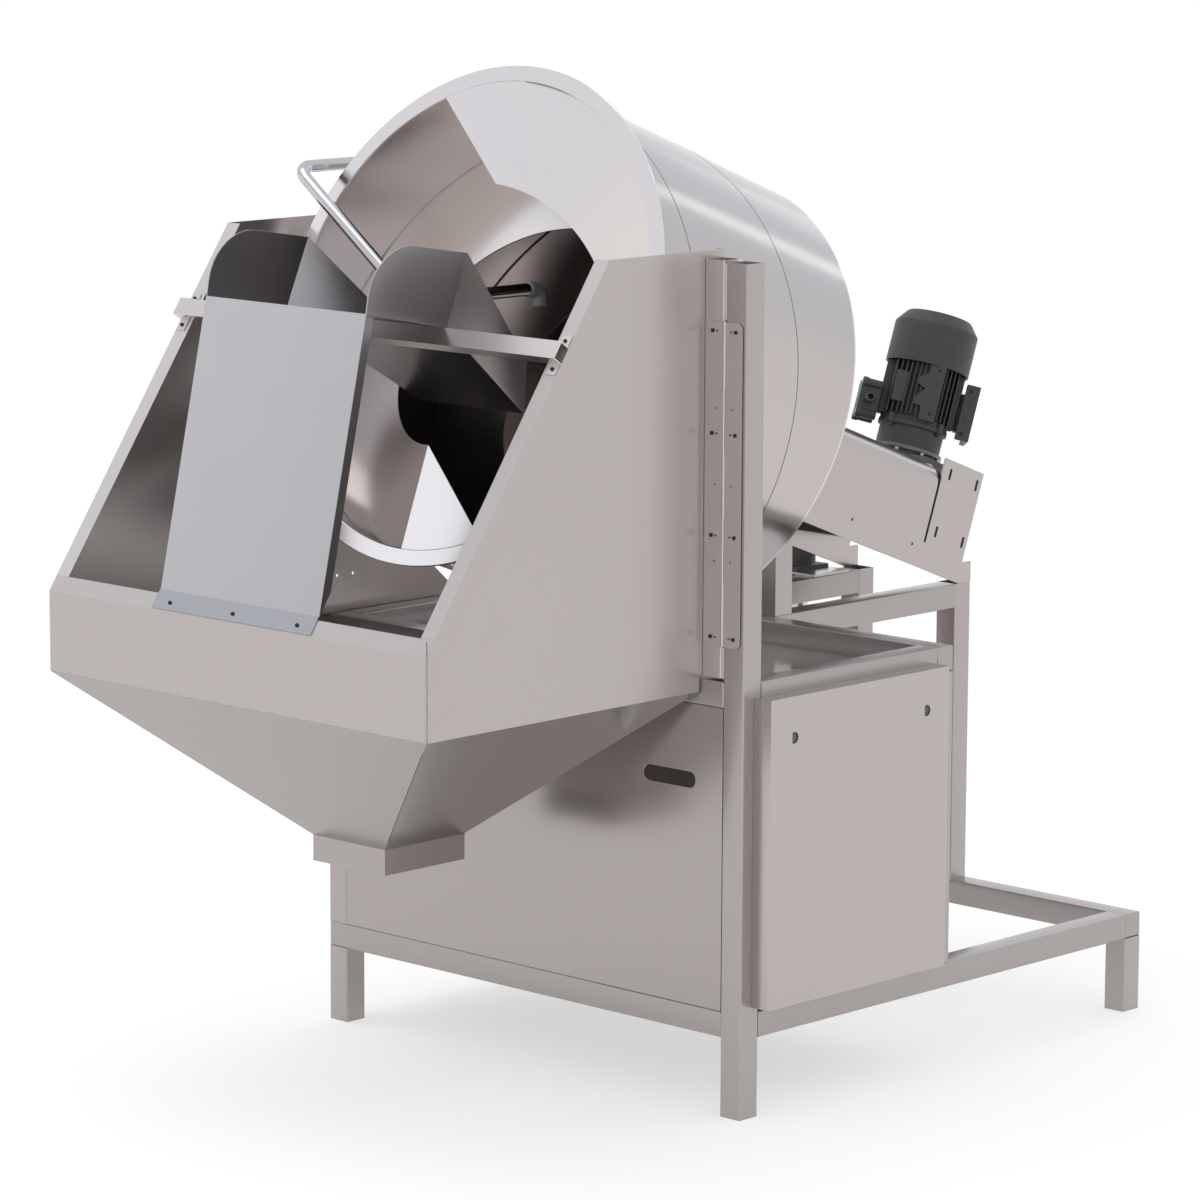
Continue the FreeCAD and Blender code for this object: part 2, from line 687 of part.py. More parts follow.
def gear_case():
    """A case with a cavity for the bevel gears, four pads each side that reach the housing's tabs."""
    z0, z1 = -MOTOR_S - GEAR_CASE_REAR, -MOTOR_S + GEAR_CASE_FRONT
    half = GEAR_CASE_W / 2
    case = box(-half, half, -GEAR_CASE_DOWN, GEAR_CASE_UP, z0, z1)
    inner_half = HOUSING_W / 2 - HOUSING_T
    pads = [cylinder(PAD_R, 2 * inner_half, Vector(-inner_half, up, -s), Vector(1, 0, 0))
            for s in TAB_SLOTS_S for up in TAB_SLOTS_UP]
    case = fused([case] + pads)
    cavity_r = WHEEL_R + GEAR_CASE_WALL
    cavity = cylinder(cavity_r, z1 - z0 - 2 * GEAR_CASE_WALL, Vector(0, 0, z0 + GEAR_CASE_WALL))
    bore = cylinder(SHAFT_R + RUN, 2 * GEAR_CASE_FRONT, Vector(0, 0, -MOTOR_S))
    well = cylinder(PINION_R + GEAR_CASE_WALL, GEAR_CASE_UP, Vector(0, GEAR_CASE_UP + OVER, -MOTOR_S), Vector(0, -1, 0))
    return in_drum_frame(case.cut(cavity).cut(bore).cut(well))


def bevel_wheel():
    """A bevel wheel on the shaft's end, behind the motor's axis, its teeth drawn as their pitch cone."""
    s = MOTOR_S + PINION_R
    inner = 1 - GEAR_FACE
    cone = revolved([(SHAFT_R + RUN, -s - WHEEL_BACK), (WHEEL_R, -s - WHEEL_BACK), (WHEEL_R, -s - TOOTH_GAP),
                     (WHEEL_R * inner, -s - TOOTH_GAP + GEAR_FACE * PINION_R),
                     (SHAFT_R + RUN, -s - TOOTH_GAP + GEAR_FACE * PINION_R)])
    return in_drum_frame(cone)


def bevel_pinion():
    """The pinion with its stub, which runs in the reducer's neck."""
    inner = 1 - GEAR_FACE
    top = GEAR_CASE_UP + NECK_FLANGE_T
    return in_motor_frame(revolved([(0, WHEEL_R * inner), (PINION_R * inner, WHEEL_R * inner), (PINION_R, WHEEL_R),
                                    (ROTOR_R, WHEEL_R), (ROTOR_R, top), (0, top)]))


def reducer_neck():
    """The round neck between gear case and motor, with a bore for the pinion's stub and the rotor."""
    outer = revolved([(0, GEAR_CASE_UP), (NECK_R, GEAR_CASE_UP), (NECK_R, NECK_TOP - NECK_FLANGE_T),
                      (NECK_FLANGE_R, NECK_TOP - NECK_FLANGE_T), (NECK_FLANGE_R, NECK_TOP), (0, NECK_TOP)])
    bore = cylinder(ROTOR_R + RUN, NECK_TOP, Vector(0, 0, GEAR_CASE_UP - OVER))
    return in_motor_frame(outer.cut(bore))


def motor_body():
    """The finned body: a round core with straight fins of one height, and a bore for the rotor."""
    core = cylinder(BODY_R, BODY_TOP - NECK_TOP, Vector(0, 0, NECK_TOP))
    fins = []
    count = int(BODY_R // FIN_STEP)
    for side in (-1, 1):
        for i in range(-count, count + 1):
            y = i * FIN_STEP
            for x_first in (True, False):
                reach = math.sqrt(FIN_R ** 2 - (abs(y) + FIN_T / 2) ** 2)
                foot = math.sqrt(max(BODY_R ** 2 - y ** 2, 0)) - TUBE_WALL
                if reach - foot < FIN_T or abs(y) > FIN_R * math.sqrt(0.5):
                    continue
                low, high = sorted((side * foot, side * reach))
                span = (y - FIN_T / 2, y + FIN_T / 2)
                pair = ((low, high), span) if x_first else (span, (low, high))
                fins.append(box(*pair[0], *pair[1], NECK_TOP + NECK_FLANGE_T, BODY_TOP - FIN_STEP))
    bore = cylinder(ROTOR_R + RUN, BODY_TOP, Vector(0, 0, NECK_TOP - OVER))
    return on_motor_body(core.multiFuse(fins).removeSplitter().cut(bore))


def motor_fan_cover():
    top, wall = FAN_COVER_TOP, FAN_COVER_WALL
    start = BODY_TOP - FIN_STEP + SEAT_GAP
    cover = revolved([(FIN_R + RUN * 6, start), (FAN_COVER_R, start), (FAN_COVER_R, top - FAN_COVER_CHAMFER),
                      (FAN_COVER_FACE_R, top), (0, top), (0, top - wall), (FAN_COVER_FACE_R - wall, top - wall),
                      (FIN_R + RUN * 6, top - FAN_COVER_CHAMFER - wall)])
    return in_motor_frame(cover)


def motor_rotor():
    """The rotor's shaft with the fan under the cover."""
    low = NECK_TOP - NECK_R + ROTOR_R
    fan_z = BODY_TOP + FAN_T
    top = fan_z + 2 * FAN_T
    shaft = cylinder(ROTOR_R, top - low, Vector(0, 0, low))
    hub = cylinder(2 * ROTOR_R, FAN_T, Vector(0, 0, fan_z))
    blades = []
    for i in range(6):
        blade = box(ROTOR_R - FIN_T, FAN_R, -FIN_T / 2, FIN_T / 2, fan_z, fan_z + 2 * FAN_T)
        blade.rotate(Vector(0, 0, 0), EZ, i * 60)
        blades.append(blade)
    return in_motor_frame(fused([shaft, hub] + blades))


def motor_terminal_box():
    """Terminal box on one side of the body, with a cable gland."""
    z0 = BOX_LOW
    y1 = -FIN_R - SEAT_GAP
    body = box(-BOX_W / 2, BOX_W / 2, y1 - BOX_D, y1, z0, z0 + BOX_H)
    gland_at = Vector(BOX_W / 2, y1 - BOX_D / 2, z0 + BOX_H / 2)
    gland = cylinder(GLAND_R, 2 * GLAND_R, gland_at, Vector(1, 0, 0))
    hole = cylinder(GLAND_R / 2, 2 * GLAND_R, gland_at + Vector(GLAND_R / 2, 0, 0), Vector(1, 0, 0))
    return on_motor_body(fused([body, gland]).cut(hole))


def motor_foot_plate():
    """The removable foot, opposite the terminal box: a web and a plate with four holes."""
    z0 = FOOT_LOW
    y0 = FIN_R + SEAT_GAP
    web = box(-FOOT_T, FOOT_T, y0, FOOT_OUT, z0 + FOOT_W / 2, z0 + FOOT_H - FOOT_W / 2)
    plate = box(-FOOT_W, FOOT_W, FOOT_OUT, FOOT_OUT + FOOT_T, z0, z0 + FOOT_H)
    for z in (z0 + 2 * FOOT_HOLE_R, z0 + FOOT_H - 2 * FOOT_HOLE_R):
        for x in (-FOOT_W + 2 * FOOT_HOLE_R, FOOT_W - 2 * FOOT_HOLE_R):
            plate = plate.cut(cylinder(FOOT_HOLE_R, 3 * FOOT_T, Vector(x, FOOT_OUT - FOOT_T, z), Vector(0, 1, 0)))
    return on_motor_body(fused([web, plate]))


# Hood

def slope_point(along, out):
    """World (y, z) of a point on the sloped opening: along it from the lip, out of its plane."""
    a = math.radians(SLOPE)
    return (HOOD_FRONT + along * math.cos(a) - out * math.sin(a), LIP_TOP + along * math.sin(a) + out * math.cos(a))


def slope_strip(x0, x1, start, end, low, high):
    """A flat bar that lies along the sloped opening."""
    corners = [slope_point(start, low), slope_point(end, low), slope_point(end, high), slope_point(start, high)]
    return plate_yz(corners, x0, x1)


def hood_outline():
    rear_z = CABINET_TOP + HOOD_NOTCH_RISE
    return [(HOOD_FRONT, HOOD_BOTTOM), (HOOD_NOTCH_Y, HOOD_BOTTOM), (HOOD_NOTCH_Y, rear_z), (HOOD_REAR, rear_z),
            (HOOD_REAR, HOOD_TOP), (HOOD_SLOPE_Y, HOOD_TOP), (HOOD_FRONT, LIP_TOP)]


def hood_right_plate():
    x0 = HOOD_X1 - HOOD_T
    plate = plate_yz(hood_outline(), x0, HOOD_X1)
    lip = slope_strip(HOOD_X1 - HOOD_LIP, HOOD_X1, HOOD_LIP, SLOPE_LEN, -HOOD_T, 0)
    rear = box(x0 - HOOD_REAR_LIP, HOOD_X1, HOOD_REAR - HOOD_T, HOOD_REAR, CABINET_TOP + HOOD_NOTCH_RISE, HOOD_TOP)
    return fused([plate, lip, rear])


def hood_left_outline():
    """The left plate's lower part reaches to the rear, past the frame's side, and its rear edge slopes up."""
    rise = (GUARD_END_Y - HOOD_REAR) * math.tan(math.radians(GUARD_SLOPE))
    return [(HOOD_FRONT, HOOD_BOTTOM), (GUARD_END_Y, HOOD_BOTTOM), (GUARD_END_Y, GUARD_END_Z),
            (HOOD_REAR, GUARD_END_Z + rise), (HOOD_REAR, HOOD_TOP), (HOOD_SLOPE_Y, HOOD_TOP), (HOOD_FRONT, LIP_TOP)]


def hood_left_plate():
    plate = plate_yz(hood_left_outline(), HOOD_X0, HOOD_X0 + HOOD_T)
    for y in GUARD_HOLE_YS:
        plate = plate.cut(cylinder(GUARD_HOLE_R, 3 * HOOD_T, Vector(HOOD_X0 - HOOD_T, y, GUARD_HOLE_Z), Vector(1, 0, 0)))
    lip = slope_strip(HOOD_X0, HOOD_X0 + HOOD_LIP, HOOD_LIP, SLOPE_LEN, -HOOD_T, 0)
    return fused([plate, lip])


def hood_front_panel():
    x = (HOOD_X0 + HOOD_T, HOOD_X1 - HOOD_T)
    inner_top = LIP_TOP + HOOD_T * math.tan(math.radians(SLOPE))
    panel = plate_yz([(HOOD_FRONT, HOOD_BOTTOM), (HOOD_FRONT + HOOD_T, HOOD_BOTTOM), (HOOD_FRONT + HOOD_T, inner_top),
                      (HOOD_FRONT, LIP_TOP)], *x)
    lip = slope_strip(*x, 0, HOOD_LIP, -HOOD_T, 0)
    return fused([panel, lip])


def ring_of_walls(top, bottom, wall):
    """Four flat walls between two rectangles (x0, x1, y0, y1, z), mitred at the corners."""
    def corners(rect, inset):
        x0, x1, y0, y1, z = rect
        x0, x1, y0, y1 = x0 + inset, x1 - inset, y0 + inset, y1 - inset
        return [Vector(x0, y0, z), Vector(x1, y0, z), Vector(x1, y1, z), Vector(x0, y1, z)]

    outer = corners(top, 0), corners(bottom, 0)
    inner = corners(top, wall), corners(bottom, wall)
    walls = []
    for i in range(4):
        j = (i + 1) % 4
        ring = [outer[0][i], outer[0][j], outer[1][j], outer[1][i]]
        back = [inner[0][i], inner[0][j], inner[1][j], inner[1][i]]
        faces = [Part.Face(Part.makePolygon(r + [r[0]])) for r in (ring, back)]
        for k in range(4):
            m = (k + 1) % 4
            faces.append(Part.Face(Part.makePolygon([ring[k], ring[m], back[m], back[k], ring[k]])))
        solid = Part.Solid(Part.Shell(faces))
        if solid.Volume < 0:
            solid.reverse()
        walls.append(solid)
    return walls


def hopper_rects():
    middle = (HOOD_X0 + HOOD_X1) / 2
    top = (HOOD_X0, HOOD_X1, HOOD_FRONT, HOOD_NOTCH_Y, HOOD_BOTTOM)
    low = (middle - SPOUT_W / 2, middle + SPOUT_W / 2, SPOUT_FRONT, SPOUT_REAR)
    return top, low + (SPOUT_TOP,), low + (SPOUT_BOTTOM,)


def hood_hopper():
    top, low, _ = hopper_rects()
    return ring_of_walls(top, low, HOOD_T)


def hood_spout():
    _, high, low = hopper_rects()
    return ring_of_walls(high, low, HOOD_T)


def hood_tube():
    z0 = CABINET_TOP + HOOD_NOTCH_RISE
    return tube("z", HOOD_X1, HOOD_X1 + TUBE, 0, TUBE, z0, HOOD_TUBE_TOP)


def tray_slope():
    return math.atan2(TRAY_END_Z - CHUTE_FOLD_Z, TRAY_END_Y - CHUTE_FOLD_Y)


def bar_end():
    """Where the crossbar's upper corner just meets the underside of the chute's tray, along the opening."""
    a = math.radians(SLOPE)
    t = tray_slope()
    drop = CHUTE_T + SEAT_GAP
    y0, z0 = CHUTE_FOLD_Y + drop * math.sin(t), CHUTE_FOLD_Z - drop * math.cos(t)
    dy, dz = math.cos(t), math.sin(t)
    ry, rz = y0 - HOOD_FRONT, z0 - LIP_TOP
    out0 = -ry * math.sin(a) + rz * math.cos(a)
    out_step = -dy * math.sin(a) + dz * math.cos(a)
    run = (BAR_H - out0) / out_step
    return (ry + run * dy) * math.cos(a) + (rz + run * dz) * math.sin(a)


def bar_feet():
    """Centres of the crossbar's foot tabs, along the opening and across it."""
    end = bar_end()
    xs = (HOOD_X0 + HOOD_T + BAR_FOOT / 2, HOOD_X1 - HOOD_T - BAR_FOOT / 2)
    return [(x, s) for x in xs for s in (end - BAR_W - BAR_FOOT / 2, end + BAR_FOOT / 2)]


def crossbar():
    """A channel across the opening, its web outwards, with a foot tab beside each leg's end."""
    end = bar_end()
    start = end - BAR_W
    x = (HOOD_X0, HOOD_X1)
    web = slope_strip(*x, start, end, BAR_H - BAR_T, BAR_H)
    legs_of_bar = [slope_strip(*x, s, s + BAR_T, 0, BAR_H) for s in (start, end - BAR_T)]
    feet = [slope_strip(cx - BAR_FOOT / 2, cx + BAR_FOOT / 2, s - BAR_FOOT / 2, s + BAR_FOOT / 2, 0, BAR_T)
            for cx, s in bar_feet()]
    return fused([web] + legs_of_bar + feet)


def ear():
    """Outline of a chute ear in (y, z): tray, fold line, sloping top edge and a large round corner in front."""
    front = Vector(0, CHUTE_FOLD_Y, CHUTE_FOLD_Z)
    back = Vector(0, TRAY_END_Y, TRAY_END_Z)
    top_back = Vector(0, EAR_END_Y, EAR_END_Z)
    edge = (top_back - Vector(0, EAR_TOP_Y, EAR_TOP_Z)).normalize()
    rise = (front - back).normalize()
    up = Vector(0, -rise.z, rise.y) if rise.y > 0 else Vector(0, rise.z, -rise.y)
    corner_top = top_back - edge * (edge.dot(top_back - front))
    r = min(EAR_R, 0.8 * (corner_top - front).Length)
    start = corner_top + (front - corner_top).normalize() * r
    stop = corner_top + edge * r
    centre = start + edge * r
    mid = centre + (corner_top - centre).normalize() * r
    return Part.Wire([Part.makeLine(front, start), Part.Arc(start, mid, stop).toShape(),
                      Part.makeLine(stop, top_back), Part.makeLine(top_back, back), Part.makeLine(back, front)])


def tail_corners(side):
    """Tail wall of one side: fold line below and above, then the rear end above and below."""
    x = AXIS_X + side * CHUTE_HALF
    drop = math.radians(TAIL_DROP)
    forward = math.cos(math.asin(TAIL_IN))
    low = Vector(x, TRAY_END_Y, TRAY_END_Z)
    high = Vector(x, EAR_END_Y, EAR_END_Z)
    step = Vector(-side * TAIL_IN, forward * math.cos(drop), -forward * math.sin(drop))
    low_end = low + step * TAIL_LEN
    normal = (high - low).cross(step)
    run = low_end.y - high.y
    high_end = Vector(0, low_end.y, high.z - run * math.tan(math.radians(45)))
    high_end.x = high.x - (normal.y * run + normal.z * (high_end.z - high.z)) / normal.x
    return low, high, high_end, low_end


def chute():
    """The loading chute: foot flange, front plate with returns, tray, ears and the tail that reaches into the drum."""
    t = CHUTE_T
    x0, x1 = AXIS_X - CHUTE_HALF, AXIS_X + CHUTE_HALF
    foot_along = (CHUTE_FOOT_Y - HOOD_FRONT) / math.cos(math.radians(SLOPE))
    foot = slope_point(foot_along, 0)
    top = (CHUTE_FOLD_Y, CHUTE_FOLD_Z)
    flange = slope_strip(x0, x1, t, foot_along + t, 0, t)
    plate = slab([(x0, *foot), (x1, *foot), (x1, *top), (x0, *top)], t, (0, 1, 0))
    tray = slab([(x0, *top), (x1, *top), (x1, TRAY_END_Y, TRAY_END_Z), (x0, TRAY_END_Y, TRAY_END_Z)], t, (0, 0, -1))
    pieces = [flange, plate, tray]
    along = Vector(0, top[0] - foot[0], top[1] - foot[1]).normalize()
    back = Vector(0, along.z, -along.y) * CHUTE_RETURN
    ends = []
    for side, x in ((-1, x0), (1, x1)):
        low, high, high_end, low_end = tail_corners(side)
        ends.append(low_end)
        inward = Vector(-side * t, 0, 0)
        a, b = Vector(x, *foot), Vector(x, *top) - along * (2 * t)
        back_low = slope_gap(a + back, along)
        pieces.append(Part.Face(Part.makePolygon([a, b, b + back, back_low, a])).extrude(inward))
        wall = Part.Face(ear()).extrude(inward)
        wall.translate(Vector(x, 0, 0))
        pieces.append(wall)
        pieces.append(slab([low, high, high_end, low_end], t, (-side, 0, 0)))
    low_left, low_right = ends
    pieces.append(slab([(x0, TRAY_END_Y, TRAY_END_Z), (x1, TRAY_END_Y, TRAY_END_Z), low_right, low_left], t, (0, 0, -1)))
    whole = fused(pieces)
    for x in chute_screw_xs():
        whole = whole.cut(slope_pin(x, HOOD_LIP / 2, SCREW_R, -t, 2 * t))
    return whole


def slope_gap(point, along):
    """Moves a point up a line until it is just clear of the sloped opening's plane."""
    a = math.radians(SLOPE)
    normal = Vector(0, -math.sin(a), math.cos(a))
    out = normal.dot(point - Vector(0, HOOD_FRONT, LIP_TOP))
    return point + along * ((SEAT_GAP - out) / normal.dot(along))


def chute_screw_xs():
    return [AXIS_X + i * CHUTE_SCREW_STEP for i in (-1, 0, 1)]


def slope_pin(x, along, radius, low, high):
    """A round pin square to the sloped opening."""
    a = math.radians(SLOPE)
    y, z = slope_point(along, low)
    return cylinder(radius, high - low, Vector(x, y, z), Vector(0, -math.sin(a), math.cos(a)))


# Hinge

def knuckle_spans(first):
    """Heights of every second knuckle, starting with the first or the second."""
    step = (LEAF_TOP - LEAF_BOTTOM) / KNUCKLES
    spans = []
    for i in range(first, KNUCKLES, 2):
        z0 = LEAF_BOTTOM + i * step
        spans.append((z0 + KNUCKLE_GAP / 2, z0 + step - KNUCKLE_GAP / 2))
    return spans


def screw_heights():
    span = LEAF_TOP - LEAF_BOTTOM - 2 * LEAF_SCREW_END
    return [LEAF_BOTTOM + LEAF_SCREW_END + i * span / (LEAF_SCREWS - 1) for i in range(LEAF_SCREWS)]


def screw_x(side):
    return HINGE_X + side * (HINGE_GAP / 2 + LEAF_W * 0.6)


def hinge_leaf(side, first):
    """One leaf: a plate on the tube's front with round outer corners, and its knuckles round the pin."""
    inner = HINGE_X + side * HINGE_GAP / 2
    outer = inner + side * LEAF_W
    x0, x1 = sorted((inner, outer))
    plate = box(x0, x1, -LEAF_T, 0, LEAF_BOTTOM, LEAF_TOP)
    edges = [e for e in plate.Edges
             if abs(e.BoundBox.YLength - LEAF_T) < 1e-6 and abs(e.BoundBox.Center.x - outer) < 1e-6]
    plate = plate.makeFillet(LEAF_CORNER, edges)
    bridges = []
    for z0, z1 in knuckle_spans(first):
        low, high = sorted((HINGE_X, inner))
        bridges.append(box(low, high, HINGE_Y - LEAF_T / 3, HINGE_Y + LEAF_T / 3, z0, z1))
        bridges.append(cylinder(KNUCKLE_R, z1 - z0, Vector(HINGE_X, HINGE_Y, z0)))
    leaf = fused([plate] + bridges)
    leaf = leaf.cut(cylinder(PIN_R + RUN, LEAF_TOP - LEAF_BOTTOM + 2 * OVER, Vector(HINGE_X, HINGE_Y, LEAF_BOTTOM - OVER)))
    for z in screw_heights():
        leaf = leaf.cut(cylinder(SCREW_R, 2 * LEAF_T, Vector(screw_x(side), -LEAF_T - OVER, z), Vector(0, 1, 0)))
    return leaf


def hinge_pin():
    shank = cylinder(PIN_R, LEAF_TOP - LEAF_BOTTOM, Vector(HINGE_X, HINGE_Y, LEAF_BOTTOM))
    return fused([shank, cylinder(PIN_HEAD_R, PIN_HEAD_H, Vector(HINGE_X, HINGE_Y, LEAF_TOP))])


def leaf_screws(side):
    screws = []
    for z in screw_heights():
        x = screw_x(side)
        head = cylinder(SCREW_HEAD_R, SCREW_HEAD_H, Vector(x, -LEAF_T - SCREW_HEAD_H, z), Vector(0, 1, 0))
        screws.append(fused([head, cylinder(SCREW_R, LEAF_T, Vector(x, -LEAF_T, z), Vector(0, 1, 0))]))
    return screws


def slope_screw(x, along, sheet):
    """A screw square to the sloped opening, its head on a sheet of this thickness."""
    head = slope_pin(x, along, SCREW_HEAD_R, sheet, sheet + SCREW_HEAD_H)
    return fused([head, slope_pin(x, along, SCREW_R, 0, sheet)])


def hood_screws():
    """Screws of the hood's leaf, of the chute's foot flange and of the crossbar's feet."""
    screws = leaf_screws(-1)
    screws += [slope_pin(x, s, SCREW_HEAD_R, BAR_T, BAR_T + SCREW_HEAD_H) for x, s in bar_feet()]
    screws += [slope_screw(x, HOOD_LIP / 2, CHUTE_T) for x in chute_screw_xs()]
    return screws


# Brine side

def pipe_wire(points, bend):
    """Straight runs joined by tangent arcs of one bend radius."""
    points = [Vector(*p) for p in points]
    edges = []
    last = points[0]
    for i in range(1, len(points) - 1):
        corner = points[i]
        a = (points[i - 1] - corner).normalize()
        b = (points[i + 1] - corner).normalize()
        half = a.getAngle(b) / 2
        set_back = bend / math.tan(half)
        start, stop = corner + a * set_back, corner + b * set_back
        centre = corner + (a + b).normalize() * (bend / math.sin(half))
        mid = centre + (corner - centre).normalize() * bend
        edges += [Part.makeLine(last, start), Part.Arc(start, mid, stop).toShape()]
        last = stop
    edges.append(Part.makeLine(last, points[-1]))
    return Part.Wire(edges)


def swept(wire, radius):
    start = wire.Vertexes[0].Point
    direction = wire.Edges[0].tangentAt(wire.Edges[0].FirstParameter)
    ring = Part.Wire(Part.makeCircle(radius, start, direction))
    return wire.makePipeShell([ring], True, True)


def pump_out_z():
    return CABINET_TOP + BRACKET_T + PUMP_OUT_UP


def feed_pipe():
    """The brine pipe: from the pump up behind the drum, over its shoulder, and through the mouth into the drum."""
    z = pump_out_z()
    route = [(PUMP_X - PUMP_R, PUMP_Y, z), (PIPE_LEFT_X, PUMP_Y, z), (PIPE_LEFT_X, PIPE_DOWN_Y, z),
             (PIPE_LEFT_X, PIPE_DOWN_Y, PIPE_TOP_Z), (PIPE_LEFT_X, PIPE_IN_Y, PIPE_TOP_Z),
             (PIPE_IN_X, PIPE_IN_Y, PIPE_IN_Z), (PIPE_IN_X, PIPE_END_Y, PIPE_IN_Z)]
    wire = pipe_wire(route, PIPE_BEND)
    return swept(wire, PIPE_R).cut(swept(wire, PIPE_R - PIPE_WALL))


def spray_nozzle():
    """A short elbow on the pipe's end that points down."""
    y1 = PIPE_END_Y + NOZZLE_LEN
    route = [(PIPE_IN_X, PIPE_END_Y, PIPE_IN_Z), (PIPE_IN_X, y1, PIPE_IN_Z), (PIPE_IN_X, y1, PIPE_IN_Z - NOZZLE_DROP)]
    wire = pipe_wire(route, NOZZLE_BEND)
    return swept(wire, NOZZLE_R).cut(swept(wire, PIPE_R - PIPE_WALL))


def pipe_stand():
    """A post on the left base rail with a clamp block round the pipe's upright run."""
    y1 = PIPE_DOWN_Y - PIPE_R
    x0 = (TUBE - STAND_W) / 2 - FRAME_W
    post = tube("z", x0, x0 + STAND_W, y1 - STAND_W, y1, BASE_TOP, STAND_TOP, STAND_WALL)
    block = box(x0, PIPE_LEFT_X + CLAMP_W / 2, y1, y1 + 2 * PIPE_R + STAND_WALL * 2, STAND_TOP - CLAMP_H, STAND_TOP)
    bore = cylinder(PIPE_R + RUN, 2 * CLAMP_H, Vector(PIPE_LEFT_X, PIPE_DOWN_Y, STAND_TOP - CLAMP_H * 1.5))
    return fused([post, block]).cut(bore)


def brine_tank():
    z0 = BASE_TOP + TRAY_T
    outer = cylinder(TANK_R, TANK_TOP - z0, Vector(TANK_X, TANK_Y, z0))
    return outer.cut(cylinder(TANK_R - TANK_WALL, TANK_TOP, Vector(TANK_X, TANK_Y, z0 + TANK_WALL)))


def tank_lid():
    lid = cylinder(TANK_R + LID_LAP, LID_T, Vector(TANK_X, TANK_Y, TANK_TOP))
    return lid.cut(cylinder(PIPE_R + OVER, 3 * LID_T, Vector(PUMP_X, PUMP_Y, TANK_TOP - LID_T)))


def tank_tray():
    x1 = TANK_X + TANK_R
    return box(TUBE_WALL - FRAME_W, x1, TRAY_FRONT, FRAME_D - TUBE_WALL, BASE_TOP, BASE_TOP + TRAY_T)


def pump_bracket():
    plate = box(PUMP_X - PUMP_FOOT, HOUSING_X0 + TUBE, BRACKET_FRONT, BRACKET_REAR, CABINET_TOP, CABINET_TOP + BRACKET_T)
    return plate.cut(cylinder(PIPE_R + OVER, 3 * BRACKET_T, Vector(PUMP_X, PUMP_Y, CABINET_TOP - BRACKET_T)))


def pump_body():
    """The pump head with its foot, outlet stub and cavity, and the suction pipe down into the tank."""
    z0 = CABINET_TOP + BRACKET_T
    head = cylinder(PUMP_R, PUMP_HEAD_H, Vector(PUMP_X, PUMP_Y, z0))
    foot = box(PUMP_X - PUMP_FOOT, PUMP_X + PUMP_FOOT, PUMP_Y - PUMP_FOOT, PUMP_Y + PUMP_FOOT, z0, z0 + PUMP_FOOT_T)
    cavity = cylinder(PUMP_R - 2 * TUBE_WALL, PUMP_HEAD_H - 4 * TUBE_WALL, Vector(PUMP_X, PUMP_Y, z0 + 2 * TUBE_WALL))
    bore = cylinder(ROTOR_R / 2 + RUN, PUMP_HEAD_H, Vector(PUMP_X, PUMP_Y, z0 + 3 * TUBE_WALL))
    outlet = cylinder(PIPE_R - PIPE_WALL, PUMP_R, Vector(PUMP_X, PUMP_Y, pump_out_z()), Vector(-1, 0, 0))
    suction = cylinder(PIPE_R, z0 - SUCTION_END, Vector(PUMP_X, PUMP_Y, SUCTION_END))
    inner = cylinder(PIPE_R - PIPE_WALL, z0 - SUCTION_END + 3 * TUBE_WALL, Vector(PUMP_X, PUMP_Y, SUCTION_END - OVER))
    return fused([head, foot, suction]).cut(cavity).cut(bore).cut(outlet).cut(inner)


def pump_motor():
    z0 = CABINET_TOP + BRACKET_T + PUMP_HEAD_H
    body = cylinder(PUMP_R - FIN_STEP, PUMP_MOTOR_H, Vector(PUMP_X, PUMP_Y, z0))
    cap = cylinder(PUMP_R - TUBE_WALL, PUMP_MOTOR_H / 4, Vector(PUMP_X, PUMP_Y, z0 + 3 * PUMP_MOTOR_H / 4))
    fins = []
    for i in range(24):
        fin = box(0, PUMP_R - TUBE_WALL, -FIN_T / 2, FIN_T / 2, z0 + FIN_T, z0 + 3 * PUMP_MOTOR_H / 4)
        fin.rotate(Vector(0, 0, 0), EZ, i * 15)
        fin.translate(Vector(PUMP_X, PUMP_Y, 0))
        fins.append(fin)
    bore = cylinder(ROTOR_R / 2 + RUN, PUMP_MOTOR_H / 2, Vector(PUMP_X, PUMP_Y, z0 - OVER))
    return body.multiFuse([cap] + fins).removeSplitter().cut(bore)


def pump_rotor():
    """Impeller and shaft, from the pump head's cavity up into the motor."""
    z0 = CABINET_TOP + BRACKET_T + 4 * TUBE_WALL
    z1 = CABINET_TOP + BRACKET_T + PUMP_HEAD_H + PUMP_MOTOR_H / 2 - TUBE_WALL
    wheel = cylinder(PUMP_R - 4 * TUBE_WALL, 2 * TUBE_WALL, Vector(PUMP_X, PUMP_Y, z0))
    return fused([wheel, cylinder(ROTOR_R / 2, z1 - z0, Vector(PUMP_X, PUMP_Y, z0))])


